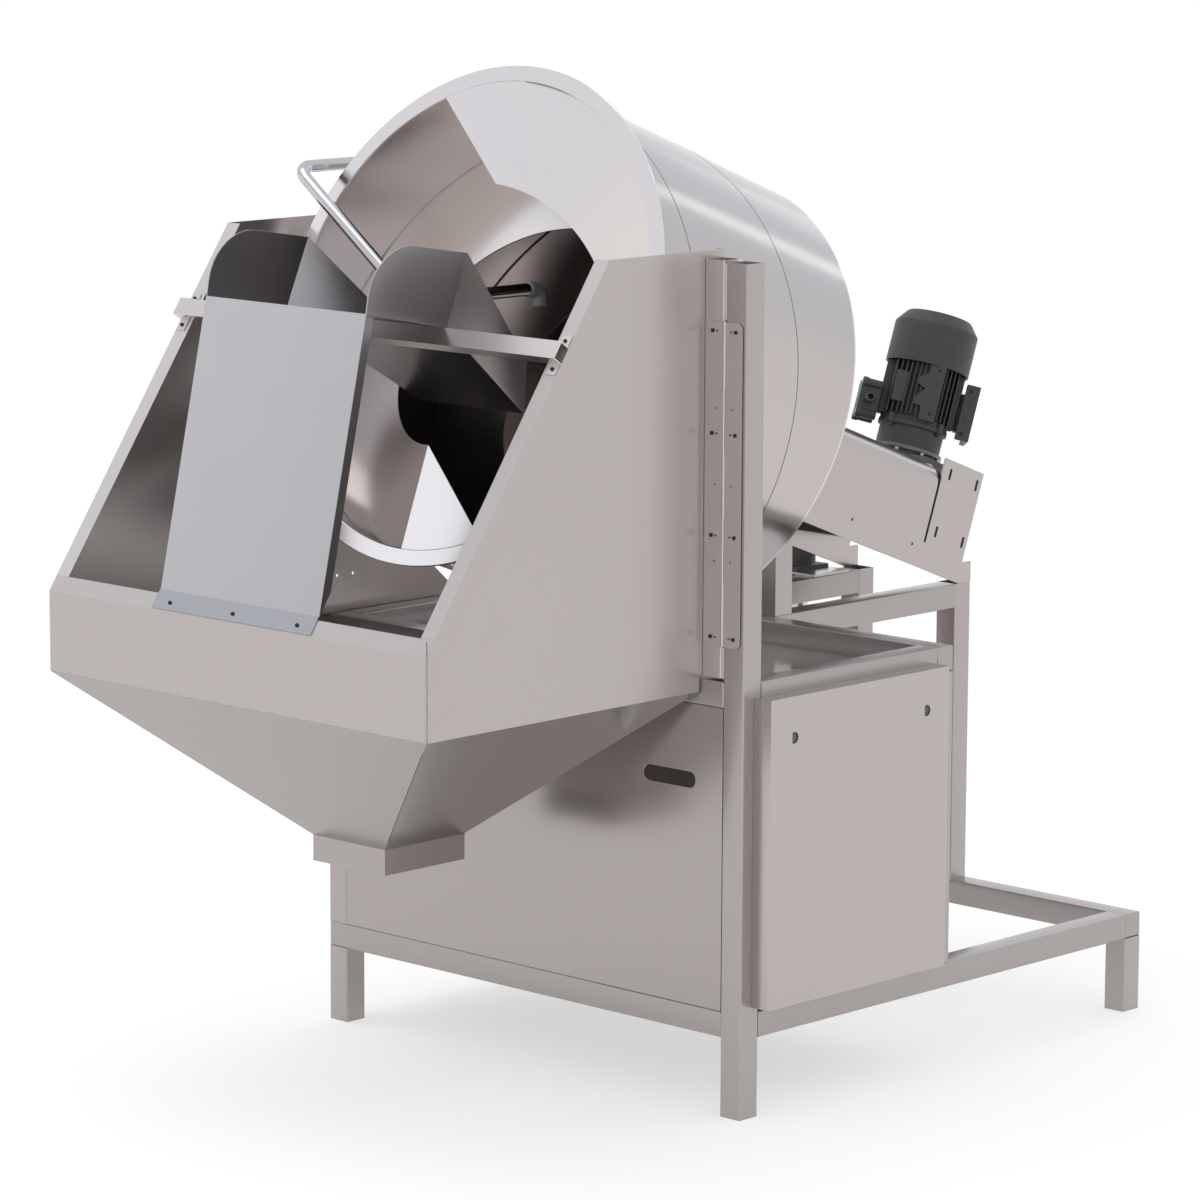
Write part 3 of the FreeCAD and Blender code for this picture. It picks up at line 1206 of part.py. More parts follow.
def make_parts():
    makers = [legs, front_right_post, base_cross_rails, base_side_rails, cabinet_uprights, cabinet_top_cross_rails,
              cabinet_top_side_rails, rear_frame_rails, rear_posts, short_posts,
              cabinet_front_panel, cabinet_left_panel, cabinet_rear_panel, cabinet_deck, side_cover_frame, side_cover,
              drum_shell, drum_mouth_ring, drum_rear_head, drum_shaft, drive_housing, bearing_plates,
              flange_bearings, drive_bolts, gear_case, bevel_wheel, bevel_pinion, reducer_neck, motor_body,
              motor_fan_cover, motor_rotor, motor_terminal_box, motor_foot_plate, hood_right_plate, hood_left_plate,
              hood_front_panel, hood_hopper, hood_spout, hood_tube, crossbar, chute, hinge_pin,
              hood_screws, feed_pipe, spray_nozzle, pipe_stand, brine_tank, tank_lid, tank_tray, pump_bracket,
              pump_body, pump_motor, pump_rotor]
    parts = {maker.__name__: maker() for maker in makers}
    parts.update(flight_nodes())
    parts["hinge_leaf_post"] = hinge_leaf(1, 0)
    parts["hinge_leaf_hood"] = hinge_leaf(-1, 1)
    parts["hinge_screws_post"] = leaf_screws(1)
    return {name: Part.Compound(shape) if isinstance(shape, list) else shape for name, shape in parts.items()}


def middle_of(parts):
    """Centre of the whole model's box in x and y."""
    whole = Part.Compound(list(parts.values())).optimalBoundingBox(False)
    return whole.Center.x, whole.Center.y


def main():
    os.makedirs("parts", exist_ok=True)
    parts = make_parts()
    cx, cy = middle_of(parts)
    move = Matrix()
    move.move(Vector(-cx, -cy, 0))
    for name, shape in sorted(parts.items()):
        placed = shape.transformGeometry(move) if name.startswith("flight_") else shape.transformed(move)
        placed.exportStep("parts/%s.step" % name)
    print("origin moved to", round(cx, 3), round(cy, 3))
    print("hinge axis", round(HINGE_X - cx, 3), round(HINGE_Y - cy, 3))
    print("mouth centre", round(AXIS_X - cx, 3), round(MOUTH_Y - cy, 3), MOUTH_Z)
    y, z = drum_point(MOTOR_S, 0)
    print("motor axis meets drum axis", round(AXIS_X - cx, 3), round(y - cy, 3), round(z, 3))
    print("pump axis", round(PUMP_X - cx, 3), round(PUMP_Y - cy, 3))


main()
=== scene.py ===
"""Looks of a meat salting machine: a tilted drum with a swinging hood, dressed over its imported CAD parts."""

import json
import math

import bmesh
import bpy
import numpy as np
from mathutils import Matrix, Vector

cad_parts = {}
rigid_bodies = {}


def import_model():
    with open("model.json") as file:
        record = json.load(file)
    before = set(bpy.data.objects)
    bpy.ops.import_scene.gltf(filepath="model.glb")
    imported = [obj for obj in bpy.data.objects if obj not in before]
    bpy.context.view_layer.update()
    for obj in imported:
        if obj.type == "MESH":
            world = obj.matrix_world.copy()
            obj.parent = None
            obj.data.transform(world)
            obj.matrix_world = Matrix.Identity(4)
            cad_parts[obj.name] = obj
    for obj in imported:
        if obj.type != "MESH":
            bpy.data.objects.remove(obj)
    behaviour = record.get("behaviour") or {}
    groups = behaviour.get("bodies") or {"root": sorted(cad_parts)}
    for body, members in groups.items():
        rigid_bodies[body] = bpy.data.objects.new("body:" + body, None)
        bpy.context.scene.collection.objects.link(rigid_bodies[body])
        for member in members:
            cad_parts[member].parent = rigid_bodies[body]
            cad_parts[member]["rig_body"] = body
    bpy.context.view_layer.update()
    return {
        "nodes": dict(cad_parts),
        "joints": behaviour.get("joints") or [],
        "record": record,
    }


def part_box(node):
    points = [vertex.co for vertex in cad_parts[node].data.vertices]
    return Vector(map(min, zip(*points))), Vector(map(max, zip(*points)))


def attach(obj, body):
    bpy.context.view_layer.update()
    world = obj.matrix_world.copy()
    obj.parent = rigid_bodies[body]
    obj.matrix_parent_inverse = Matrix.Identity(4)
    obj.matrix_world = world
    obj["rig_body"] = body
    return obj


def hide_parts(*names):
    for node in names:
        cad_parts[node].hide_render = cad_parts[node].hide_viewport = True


bl_info = {
    "name": "Meat salting machine",
    "version": (1, 0, 0),
    "blender": (4, 5, 0),
    "location": "View3D > Sidebar > Salting machine",
    "description": "Tilted salting drum with a hopper hood on a square tube frame, with its finishes",
    "category": "Object",
}

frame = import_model()
JOINTS = {joint["name"]: joint for joint in frame["joints"]}
SLOTS = {part["node"]: part["material_slot"] for part in frame["record"]["subparts"]}
MM = 0.001


def place_of(joint):
    """A frame at a joint: its axis is z, the machine's x is x, and y is z cross x."""
    z = np.array(JOINTS[joint]["axis"], float)
    x = np.array([1.0, 0.0, 0.0])
    return np.column_stack([x, np.cross(z, x), z]), np.array(JOINTS[joint]["pos_m"], float)


def facing(origin, out, along):
    """A frame at a point: z out of the surface, x along it, and y is z cross x."""
    z, x = (np.array(v, float) / np.linalg.norm(v) for v in (out, along))
    return np.column_stack([x, np.cross(z, x), z]), np.array(origin, float)


def in_frame(place, point):
    """A point of a local frame, in the machine's."""
    return place[0] @ np.array(point, float) + place[1]


MACHINE = (np.eye(3), np.zeros(3))
DRUM = place_of("drum_spin")      # y is up, z points out of the mouth
MOTOR = place_of("pinion_spin")   # z along the motor's shaft, y to the rear
HINGE = np.array(JOINTS["hood_swing"]["pos_m"], float)
GLAND = {mount["name"]: mount for mount in frame["record"]["mounts"]}["motor_cable_gland"]
MOTOR_BODY = facing(MOTOR[1], MOTOR[0][:, 2], GLAND["axis"])   # x is the side with the gland, y the foot's side


# Sizes and colours that a user would change

def measure(name, description, default, least):
    """A length that a user may change."""
    return bpy.props.FloatProperty(name=name, description=description, default=default, min=least, unit="LENGTH")


def tint(name, description, default):
    """A linear colour that a user may change."""
    return bpy.props.FloatVectorProperty(name=name, description=description, default=default, size=3, min=0, max=1,
                                         subtype="COLOR")


class SaltingSizes(bpy.types.PropertyGroup):
    tube_corner: measure("Tube corner", "Radius of the square tubes' outer corners", 3.5 * MM, 0.5 * MM)
    tube_wall: measure("Tube wall", "Wall of the square tubes", 3 * MM, MM)
    sheet_edge: measure("Sheet edge", "Rounding of the sheet parts' edges", 0.6 * MM, 0.1 * MM)
    seam_width: measure("Seam width", "Width of the dark seams on the drum's shell", 1.8 * MM, 0.2 * MM)
    weld_radius: measure("Weld radius", "Radius of the weld beads along the flights", 1.9 * MM, 0.5 * MM)
    fin_step: measure("Fin step", "Distance between the motor's fins", 11.25 * MM, 6 * MM)
    screw_radius: measure("Screw head", "Radius of the hinge's screw heads", 4.5 * MM, 2 * MM)
    pipe_radius: measure("Pipe radius", "Outer radius of the brine pipe", 15 * MM, 5 * MM)
    drum_steps: bpy.props.IntProperty(
        name="Drum steps", description="Steps round the drum's surfaces", default=240, min=48, max=480)


class SaltingColours(bpy.types.PropertyGroup):
    sheet: tint("Sheet steel", "Ground stainless sheet", (0.5, 0.457, 0.445))
    tube: tint("Tube steel", "Square tubes of the frame", (0.49, 0.449, 0.436))
    drum: tint("Drum steel", "Rolled sheet of the drum", (0.53, 0.488, 0.472))
    # Painted shade: the front steel is the sheet steel made darker for the parts that face the front, where less light
    # falls on them, not a duller sheet.
    front: tint("Front steel", "Duller sheet of the front panel, hopper and spout", (0.42, 0.384, 0.374))
    flight: tint("Flight steel", "Flat sheet of the flights and of the ring", (0.74, 0.684, 0.663))
    # Painted light: the leaf steel is a lighter copy of the sheet steel, so that the hinge, the hood tube and the
    # shaded insides of the left plate and the crossbar show bright.
    leaf: tint("Leaf steel", "Hinge leaves, hood tube, left plate and crossbar", (0.66, 0.604, 0.585))
    # Painted reflection: the chute's bluish tint stands in for the blue of the sky that it reflects.
    chute: tint("Chute steel", "Cold-rolled sheet of the loading chute", (0.435, 0.42, 0.43))
    # The deck colour also paints light on the strip in the hinge's gap.
    deck: tint("Deck steel", "Mirror-like deck, and the strip in the hinge's gap", (0.88, 0.86, 0.85))
    bright: tint("Bright steel", "Polished pipe, shafts and welds", (0.54, 0.52, 0.52))
    # The seam colour is shared by the real seams and gaps and by painted shade: the shadow line round the hinge leaf,
    # the screws' sockets and the small holes by the screws.
    seam: tint("Seam", "Dark seams and gaps", (0.09, 0.085, 0.08))
    # Painted shade: holes and slots are dark discs and rings in this colour, not openings.
    hole: tint("Hole", "Insides of small holes", (0.012, 0.012, 0.012))
    screw: tint("Screws", "Blackened screws of the hinge", (0.035, 0.033, 0.03))
    motor: tint("Motor grey", "Painted castings of the motor", (0.05, 0.051, 0.053))
    casting: tint("Casting grey", "Gear case and bearings", (0.12, 0.12, 0.125))
    alloy: tint("Bare alloy", "Machined ring between gear unit and neck", (0.15, 0.148, 0.145))
    nozzle: tint("Nozzle plastic", "Milky plastic of the spray nozzle", (0.42, 0.44, 0.48))


# Shader expressions

class Value:
    """A socket in an expression: each operator adds one Math node."""

    def __init__(self, sketch, socket):
        self.sketch, self.socket = sketch, socket

    def math(self, operation, a, b):
        return self.sketch.node("ShaderNodeMath", {"operation": operation}, {0: a, 1: b})

    def __add__(self, other):
        return self.math("ADD", self, other)

    def __mul__(self, other):
        return self.math("MULTIPLY", self, other)

    def __gt__(self, other):
        return self.math("GREATER_THAN", self, other)

    __radd__, __rmul__ = __add__, __mul__


class Sketch:
    """A node tree that is written as expressions."""

    def __init__(self, tree):
        self.tree = tree
        tree.nodes.clear()

    def node(self, kind, settings=None, inputs=None, output=0):
        """Adds a node, sets it up, then gives its sockets their values or links, and returns one output."""
        made = self.tree.nodes.new(kind)
        for name, value in (settings or {}).items():
            setattr(made, name, value)
        for name, value in (inputs or {}).items():
            if isinstance(value, Value):
                self.tree.links.new(value.socket, made.inputs[name])
            else:
                made.inputs[name].default_value = value
        return Value(self, made.outputs[output])

    def noise(self, place, scale, detail, roughness=0.5):
        return self.node("ShaderNodeTexNoise", None, {"Vector": place, "Scale": scale, "Detail": detail,
                                                      "Roughness": roughness})

    def mixed(self, factor, a, b):
        return self.node("ShaderNodeMix", {"data_type": "RGBA"}, {0: factor, 6: (*a, 1), 7: (*b, 1)}, 2)

    def object_place(self, centre=(0, 0, 0), turn=(0, 0, 0), cell=(1, 1, 1)):
        """Object coordinates seen from a turned frame, counted in cells of this size."""
        place = self.node("ShaderNodeTexCoord", None, None, "Object")
        return self.node("ShaderNodeMapping", {"vector_type": "TEXTURE"},
                         {"Vector": place, "Location": centre, "Rotation": turn, "Scale": cell})


def material(name):
    made = bpy.data.materials.new(name)
    made.use_nodes = True
    return made, Sketch(made.node_tree)


def ended(sketch, shader):
    """Links a shader to the material's end."""
    end = sketch.tree.nodes.new("ShaderNodeOutputMaterial")
    sketch.tree.links.new(shader.socket, end.inputs["Surface"])


def surface(sketch, **inputs):
    """Ends a material in the main surface shader."""
    ended(sketch, sketch.node("ShaderNodeBsdfPrincipled", None, {k.replace("_", " "): v for k, v in inputs.items()}))


def shade(colour, factor):
    return tuple(min(1.0, c * factor) for c in colour)


LINES_SHARE = 0.05     # of the tone comes from the grinding lines, the rest from the clouds


def ground_steel(name, colour, roughness, cell, centre=(0, 0, 0), turn=(0, 0, 0), tone=0.01, grain=0.004, metal=0.88):
    """Ground stainless steel: fine lines along the long sides of the cell, with faint clouds and handling marks.
    Ground sheet scatters a little, so less than all of it is a mirror."""
    made, sketch = material(name)
    lines = sketch.noise(sketch.object_place(centre, turn, cell), 1.0, 2.0, 0.5)
    place = sketch.object_place()
    clouds = sketch.noise(place, 2.3, 2.0)
    marks = sketch.noise(place, 9.0, 3.0, 0.5)
    level = lines * LINES_SHARE + clouds * (1 - LINES_SHARE)
    base = sketch.mixed(level, shade(colour, 1 - tone), shade(colour, 1 + tone))
    rough = roughness - 0.04 + marks * 0.05 + lines * (0.09 * LINES_SHARE)
    bump = sketch.node("ShaderNodeBump", None, {"Strength": grain, "Distance": 0.3 * MM, "Height": lines})
    surface(sketch, Base_Color=base, Metallic=metal, Roughness=rough, Normal=bump)
    return made


def painted_casting(name, colour, roughness=0.55, grain=0.35):
    """Painted casting: a fine orange-peel bump and slightly rubbed tone."""
    made, sketch = material(name)
    place = sketch.object_place()
    grains = sketch.noise(place, 420.0, 2.0, 0.6)
    rubbed = sketch.noise(place, 22.0, 4.0, 0.6)
    base = sketch.mixed(rubbed, shade(colour, 0.8), shade(colour, 1.25))
    rough = roughness - 0.08 + rubbed * 0.16
    bump = sketch.node("ShaderNodeBump", None, {"Strength": grain, "Distance": 0.3 * MM, "Height": grains})
    surface(sketch, Base_Color=base, Metallic=0.0, Roughness=rough, Normal=bump)
    return made


def milky_plastic(name, colour):
    """Moulded milky plastic with faint clouds."""
    made, sketch = material(name)
    clouds = sketch.noise(sketch.object_place(), 60.0, 3.0)
    base = sketch.mixed(clouds, shade(colour, 0.94), shade(colour, 1.06))
    surface(sketch, Base_Color=base, Metallic=0.0, Roughness=0.3 + clouds * 0.08)
    return made


FINISHES = {}


def make_finishes(colours):
    """All finishes, each made once and shared by the pieces that have it."""
    fine, long = 1.2 * MM, 0.6
    level, upright, speckled = (long, long, fine), (fine, fine, long), (fine, fine, fine)
    mirror, tube = {"metal": 1.0}, {"grain": 0.0005, "metal": 0.6}
    drum = {"centre": tuple(DRUM[1]), "turn": (math.pi / 2 - math.asin(DRUM[0][2, 2]), 0, 0), "metal": 1.0}
    # Painted shade: the rails along x and y have the tube steel made a little darker than the uprights, for how the
    # light falls on them.
    rail = shade(colours.tube, 0.93)
    steel = {
        "sheet": ("sheet_ground", colours.sheet, 0.24, level, {}),
        # sheet_shaded_front is painted shade: a darker copy of the sheet for the parts that face the front.
        "front": ("sheet_shaded_front", colours.front, 0.24, level, {}),
        # hopper_shaded_front is painted shade: the front steel made darker still for the hopper's front.
        "hopper": ("hopper_shaded_front", shade(colours.front, 0.86), 0.24, level, {}),
        # hood_ground_lit is painted light: the sheet made 1.21 times lighter for the hood plates, which have less
        # metal.
        "hood": ("hood_ground_lit", shade(colours.sheet, 1.21), 0.3, level, {"metal": 0.4}),
        "deck": ("deck_bright", colours.deck, 0.14, (long, fine, long), {}),
        # chute_sky_tinted: its bluish tint is a painted reflection of the sky.
        "chute": ("chute_sky_tinted", colours.chute, 0.27, (fine, long, long),
                  {"tone": 0.005, "grain": 0.0005, "metal": 1.0}),
        # leaf_ground_lit is painted light: a lighter copy of the sheet steel.
        "leaf": ("leaf_ground_lit", colours.leaf, 0.3, upright, {}),
        "tube_x": ("tube_ground_shaded_along_x", rail, 0.27, (long, fine, fine), tube),
        "tube_y": ("tube_ground_shaded_along_y", rail, 0.27, (fine, long, fine), tube),
        "tube_z": ("tube_ground_along_z", colours.tube, 0.27, upright, tube),
        "drum": ("drum_rolled", colours.drum, 0.17, level, drum),
        "flight": ("flight_ground", colours.flight, 0.2, (2 * fine, 2 * fine, long), drum),
        "bright": ("pipe_polished", colours.bright, 0.15, (fine, long, long), mirror),
        "fastener": ("fastener_steel", colours.bright, 0.3, speckled, {"tone": 0.08}),
        "screw": ("screw_blackened", colours.screw, 0.4, speckled, {"tone": 0.1}),
        "alloy": ("alloy_machined", colours.alloy, 0.34, upright,
                  {"centre": tuple(MOTOR[1]), "tone": 0.06, "grain": 0.05}),
    }
    for key, (name, colour, roughness, cell, more) in steel.items():
        FINISHES[key] = ground_steel(name, tuple(colour), roughness, cell, **more)
    FINISHES.update({
        "seam": painted_casting("seam_and_shadow_dark", tuple(colours.seam), 0.7, 0.1),
        "hole": painted_casting("hole_painted_shade", tuple(colours.hole), 0.7, 0.1),
        "motor": painted_casting("motor_paint", tuple(colours.motor), 0.5, 0.2),
        "casting": painted_casting("casting_paint", tuple(colours.casting), 0.5),
        "nozzle": milky_plastic("nozzle_milky", tuple(colours.nozzle)),
    })


# Surfaces as whole arrays

def circle(radius, steps):
    """The radius times the cosine and the sine of even angles."""
    angle = np.linspace(0, 2 * np.pi, steps, endpoint=False)
    return radius * np.column_stack([np.cos(angle), np.sin(angle)])


def rounded_rectangle(width, height, corner, steps=4):
    """Four quarter circles round the corner points, each the corner's centre plus the radius times cosine and sine."""
    turn = np.linspace(0, np.pi / 2, steps + 1)
    quarter = np.arange(4)[:, None] * np.pi / 2 + turn
    sign = np.array([(1, 1), (-1, 1), (-1, -1), (1, -1)], float)
    centre = sign * (np.array([width, height]) / 2 - corner)
    points = centre[:, None, :] + corner * np.stack([np.cos(quarter), np.sin(quarter)], -1)
    return points.reshape(-1, 2)


def skin(rings, loop=False):
    """Faces between neighbouring sections of an array (section, point, xyz). Each section is a closed line.
    The first and last are closed by a flat face, or joined to each other."""
    rings = np.asarray(rings, float)
    count, around = rings.shape[:2]
    index = np.arange(count * around).reshape(count, around)
    a, b = (index, np.roll(index, -1, 0)) if loop else (index[:-1], index[1:])
    quads = np.stack([a, np.roll(a, -1, 1), np.roll(b, -1, 1), b], -1).reshape(-1, 4)
    ends = [] if loop else [index[:1, ::-1], index[-1:]]
    return rings.reshape(-1, 3), [quads, *ends]


def lathe(profile, place, steps=96, loop=False):
    """Radius and height of a profile turned about z: (r cos a, r sin a, h), then set in its frame."""
    profile = np.asarray(profile, float)
    unit = circle(1.0, steps)
    rings = np.concatenate([profile[:, None, :1] * unit[None], np.repeat(profile[:, None, 1:], steps, 1)], -1)
    return seat(skin(rings, loop), place)


def seat(shape, place):
    """Turns and moves a shape from a local frame to the machine's: rotation times point plus origin."""
    points, faces = shape
    turn, origin = place
    return points @ np.asarray(turn).T + origin, faces


def stacked(levels, place):
    """Flat outlines at their heights, each joined to the next."""
    return seat(skin([np.column_stack([line, np.full(len(line), height)]) for line, height in levels]), place)


def prism(outline, low, high, place):
    """A flat outline carried from one height to another."""
    return rimmed_prism(outline, outline, low, high, 0.0, place)


def rimmed_prism(outline, inner, low, high, edge, place):
    """A flat outline with a small chamfer on its upper rim: the upper section is a smaller outline."""
    outline, inner = np.asarray(outline, float), np.asarray(inner, float)
    levels = ((outline, low), (outline, high - edge), (inner, high)) if edge else ((outline, low), (outline, high))
    return stacked(levels, place)


def block(low, high, place, edge=1.5 * MM):
    """A cuboid of a local frame between two corners, with rounded sides and a chamfer on its z faces:
    a rounded rectangle that is smaller at its first and last height."""
    low, high = np.array(low, float), np.array(high, float)
    size, middle = (high - low)[:2], ((low + high) / 2)[:2]
    outer = rounded_rectangle(*size, edge) + middle
    inner = rounded_rectangle(*(size - 2 * edge), 0.3 * edge) + middle
    levels = ((inner, low[2]), (outer, low[2] + edge), (outer, high[2] - edge), (inner, high[2]))
    return stacked(levels, place)


def carried(outline, path, up, size=1.0):
    """An outline's two coordinates along the side and top vectors of each point of a path, times a size that
    may vary along it. Side is the path's direction cross up, top is side cross direction."""
    path = np.asarray(path, float)
    ahead = np.gradient(path, axis=0)
    ahead /= np.linalg.norm(ahead, axis=1)[:, None]
    side = np.cross(ahead, np.asarray(up, float))
    side /= np.linalg.norm(side, axis=1)[:, None]
    top = np.cross(side, ahead)
    size = np.broadcast_to(size, len(path))[:, None, None]
    return path[:, None] + size * (outline[None, :, :1] * side[:, None] + outline[None, :, 1:] * top[:, None])


def bent_path(corners, radii, steps=10):
    """Straight runs joined by arcs: on each arc the centre plus the radius times cosine and sine of its angle."""
    corners = np.asarray(corners, float)
    parts = [corners[:1]]
    radii = np.broadcast_to(radii, len(corners) - 2)
    for before, corner, after, radius in zip(corners[:-2], corners[1:-1], corners[2:], radii):
        a, b = (v / np.linalg.norm(v) for v in (before - corner, after - corner))
        half = math.acos(np.clip(a @ b, -1, 1)) / 2
        middle = (a + b) / np.linalg.norm(a + b)
        centre = corner + middle * radius / math.sin(half)
        start = corner + a * radius / math.tan(half)
        across, along = (start - centre) / radius, -a
        angle = np.linspace(0, math.pi - 2 * half, steps)[:, None]
        parts.append(centre + radius * (np.cos(angle) * across + np.sin(angle) * along))
    return np.concatenate([*parts, corners[-1:]])


def lobed_rectangle(width, height, lobe, steps=8):
    """Three quarters of a circle round each corner point, with sides that run a little inside the lobes."""
    turn = np.linspace(-0.75 * np.pi, 0.75 * np.pi, steps + 1)[1:-1]
    middle = (np.arange(4)[:, None] + 0.5) * np.pi / 2
    sign = np.array([(1, 1), (-1, 1), (-1, -1), (1, -1)], float)
    centre = sign * (np.array([width, height]) / 2 - lobe)
    points = centre[:, None, :] + lobe * np.stack([np.cos(middle + turn), np.sin(middle + turn)], -1)
    return points.reshape(-1, 2)


class Work:
    """Surfaces that become one piece, each turned outwards and with its finish."""

    def __init__(self):
        self.points, self.faces, self.finish, self.names = [], [], [], []
        self.count = 0

    def add(self, shape, finish):
        """Adds a closed surface. The sum of its faces' triple products is its volume, and a negative one is turned."""
        points, faces = shape
        volume = 0.0
        for group in faces:
            first = points[group[:, 0]]
            for i in range(1, group.shape[1] - 1):
                volume += np.einsum("ij,ij->", first, np.cross(points[group[:, i]], points[group[:, i + 1]]))
        if finish not in self.names:
            self.names.append(finish)
        for group in faces:
            turned = group if volume > 0 else group[:, ::-1]
            self.faces += (turned + self.count).tolist()
            self.finish += [self.names.index(finish)] * len(group)
        self.points.append(points)
        self.count += len(points)

    def piece(self, name, body, slot, stands_for=(), crease=32.0):
        """Makes the mesh, smooth but for edges sharper than the crease, and lets it ride on its body."""
        mesh = bpy.data.meshes.new(name)
        mesh.from_pydata(np.concatenate(self.points), [], self.faces)
        mesh.polygons.foreach_set("material_index", self.finish)
        return settle(name, mesh, [FINISHES[n] for n in self.names], body, stands_for, crease)

    def stand_in(self, node, suffix):
        """The piece in place of a CAD part, with that part's body."""
        return self.piece(node + "_" + suffix, frame["nodes"][node]["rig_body"], SLOTS[node], (node,))


def settle(name, mesh, finishes, body, stands_for, crease):
    mesh.polygons.foreach_set("use_smooth", [True] * len(mesh.polygons))
    mesh.set_sharp_from_angle(angle=math.radians(crease))
    for finish in finishes:
        mesh.materials.append(finish)
    piece = bpy.data.objects.new(name, mesh)
    bpy.context.scene.collection.objects.link(piece)
    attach(piece, body)
    if stands_for:
        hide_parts(*stands_for)
    return piece


def softened(node, finish, edge):
    """A copy of a CAD part with its doubles merged, its flat faces joined and its edges rounded by a bevel."""
    source = frame["nodes"][node]
    work = bmesh.new()
    work.from_mesh(source.data)
    bmesh.ops.remove_doubles(work, verts=work.verts, dist=2e-6)
    bmesh.ops.dissolve_limit(work, angle_limit=math.radians(0.4), verts=work.verts, edges=work.edges)
    mesh = bpy.data.meshes.new(node + "_dressed")
    work.to_mesh(mesh)
    work.free()
    mesh.materials.clear()     # and with them the CAD part's own indices
    piece = settle(node + "_dressed", mesh, [FINISHES[finish]], source["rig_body"], (node,), 30.0)
    if edge:
        bevel = piece.modifiers.new("rounded edges", "BEVEL")
        bevel.width, bevel.segments, bevel.limit_method, bevel.angle_limit = edge, 2, "ANGLE", math.radians(30)
        bevel.use_clamp_overlap, bevel.harden_normals = False, True
    return piece


# Pieces

def square_tube(axis, low, high, wall, corner, foot=0.0):
    """A rounded square carried from end to end outside and back inside. A footed tube is closed by its sole."""
    low, high = np.array(low, float), np.array(high, float)
    i = "xyz".index(axis)
    across = [k for k in range(3) if k != i]
    size, middle = (high - low)[across], ((low + high) / 2)[across]

    def section(outline, along):
        points = np.full((len(outline), 3), along)
        points[:, across] = outline + middle
        return points

    outer = rounded_rectangle(*size, corner)
    inner = rounded_rectangle(*(size - 2 * wall), max(corner - wall, 0.6 * MM))
    rings = [section(outer, low[i]), section(outer, high[i]), section(inner, high[i]), section(inner, low[i] + foot)]
    return skin(rings, loop=not foot)


def closed_tube(low, high, corner):
    """A tube along x whose ends are welded shut: a rounded square with a chamfer on both ends."""
    turned = np.array([(0, 0, 1), (1, 0, 0), (0, 1, 0)], float)
    size = np.array(high, float) - np.array(low, float)
    return block((0, 0, 0), size[[1, 2, 0]], (turned, np.array(low, float)), corner)


def softened_all(finishes, edge=None):
    """Rounded copies of several CAD parts, each with its finish. The edge is the sheet's where none is given."""
    for node, finish in finishes.items():
        softened(node, finish, sizes().sheet_edge if edge is None else edge)


def sizes():
    return bpy.context.scene.salting_sizes


def tube_piece(node, spans, closed=()):
    """All tubes of one CAD part, from their corners."""
    work = Work()
    for axis, low, high, *foot in spans:
        work.add(square_tube(axis, low, high, sizes().tube_wall, sizes().tube_corner, *foot), "tube_" + axis)
    for low, high in closed:
        work.add(closed_tube(low, high, sizes().tube_corner), "tube_x")
    return work.stand_in(node, "tubes")


class SALTING_OT_frame(bpy.types.Operator):
    """Legs, posts and rails of square tube"""
    bl_idname = "salting.frame"
    bl_label = "Square tube frame"

    def execute(self, context):
        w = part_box("front_right_post")[1].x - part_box("front_right_post")[0].x
        (x0, y0, z0), (x1, y1, z1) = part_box("base_cross_rails")
        xa, xb, ya, yb = x0 + w, x1 - w, y0 + w, y1 - w
        leg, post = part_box("legs")[1].z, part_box("front_right_post")[1].z
        sole = 4 * MM
        tube_piece("legs", [("z", (x, y, 0), (x + w, y + w, leg), sole) for x, y in ((x0, y0), (x0, yb), (xb, yb))])
        tube_piece("front_right_post", [("z", (xb, y0, 0), (x1, ya, post), sole)])

        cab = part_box("cabinet_uprights")[1].y
        tube_piece("base_cross_rails", [("x", (xa, cab - w, z0), (xb, cab, z1))],
                   [((x0, y0, z0), (xb, ya, z1)), ((x0, yb, z0), (x1, y1, z1))])
        tube_piece("base_side_rails", [("y", (x, ya, z0), (x + w, yb, z1)) for x in (x0, xb)])

        low, high = (corner.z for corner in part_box("cabinet_uprights"))
        tube_piece("cabinet_uprights", [("z", (x, y, low), (x + w, y + w, high))
                                        for x, y in ((x0, y0), (x0, cab - w), (xb, cab - w))])
        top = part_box("cabinet_top_cross_rails")[1].z
        tube_piece("cabinet_top_cross_rails", [],
                   [((x0, y0, top - w), (xb, ya, top)), ((x0, cab - w, top - w), (x1, cab, top))])
        tube_piece("cabinet_top_side_rails", [("y", (x, ya, top - w), (x + w, cab - w, top)) for x in (x0, xb)])

        ra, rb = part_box("rear_frame_rails")[0].x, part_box("rear_frame_rails")[1].x - w
        tube_piece("rear_frame_rails", [("y", (x, cab, top - w), (x + w, yb, top)) for x in (ra, rb)])
        tube_piece("rear_posts", [("z", (x, yb, z1), (x + w, y1, top)) for x in (ra, rb)])
        softened_all({"short_posts": "tube_z"})
        return {"FINISHED"}


class SALTING_OT_cabinet(bpy.types.Operator):
    """Panels, deck and side cover of the cabinet under the drum"""
    bl_idname = "salting.cabinet"
    bl_label = "Cabinet covers"

    def execute(self, context):
        # The front panel has the darker front copy of the sheet: painted shade.
        softened_all({"cabinet_left_panel": "sheet", "cabinet_rear_panel": "sheet", "side_cover_frame": "sheet",
                      "side_cover": "sheet", "cabinet_front_panel": "front", "cabinet_deck": "deck"})

        low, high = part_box("side_cover")
        aside, down, sheet, lock, dot = 79 * MM, 94 * MM, 3.2 * MM, 16 * MM, 5 * MM
        work = Work()
        for y in (low.y + aside, high.y - aside):
            place = facing((high.x - sheet, y, high.z - down), (1, 0, 0), (0, 1, 0))
            work.add(prism(circle(lock, 32), -3 * MM, 0, place), "casting")
            work.add(prism(circle(dot, 24), 0, 0.8 * MM, place), "alloy")
        work.piece("side_cover_lock_bodies", "frame", "cast_grey")
        return {"FINISHED"}


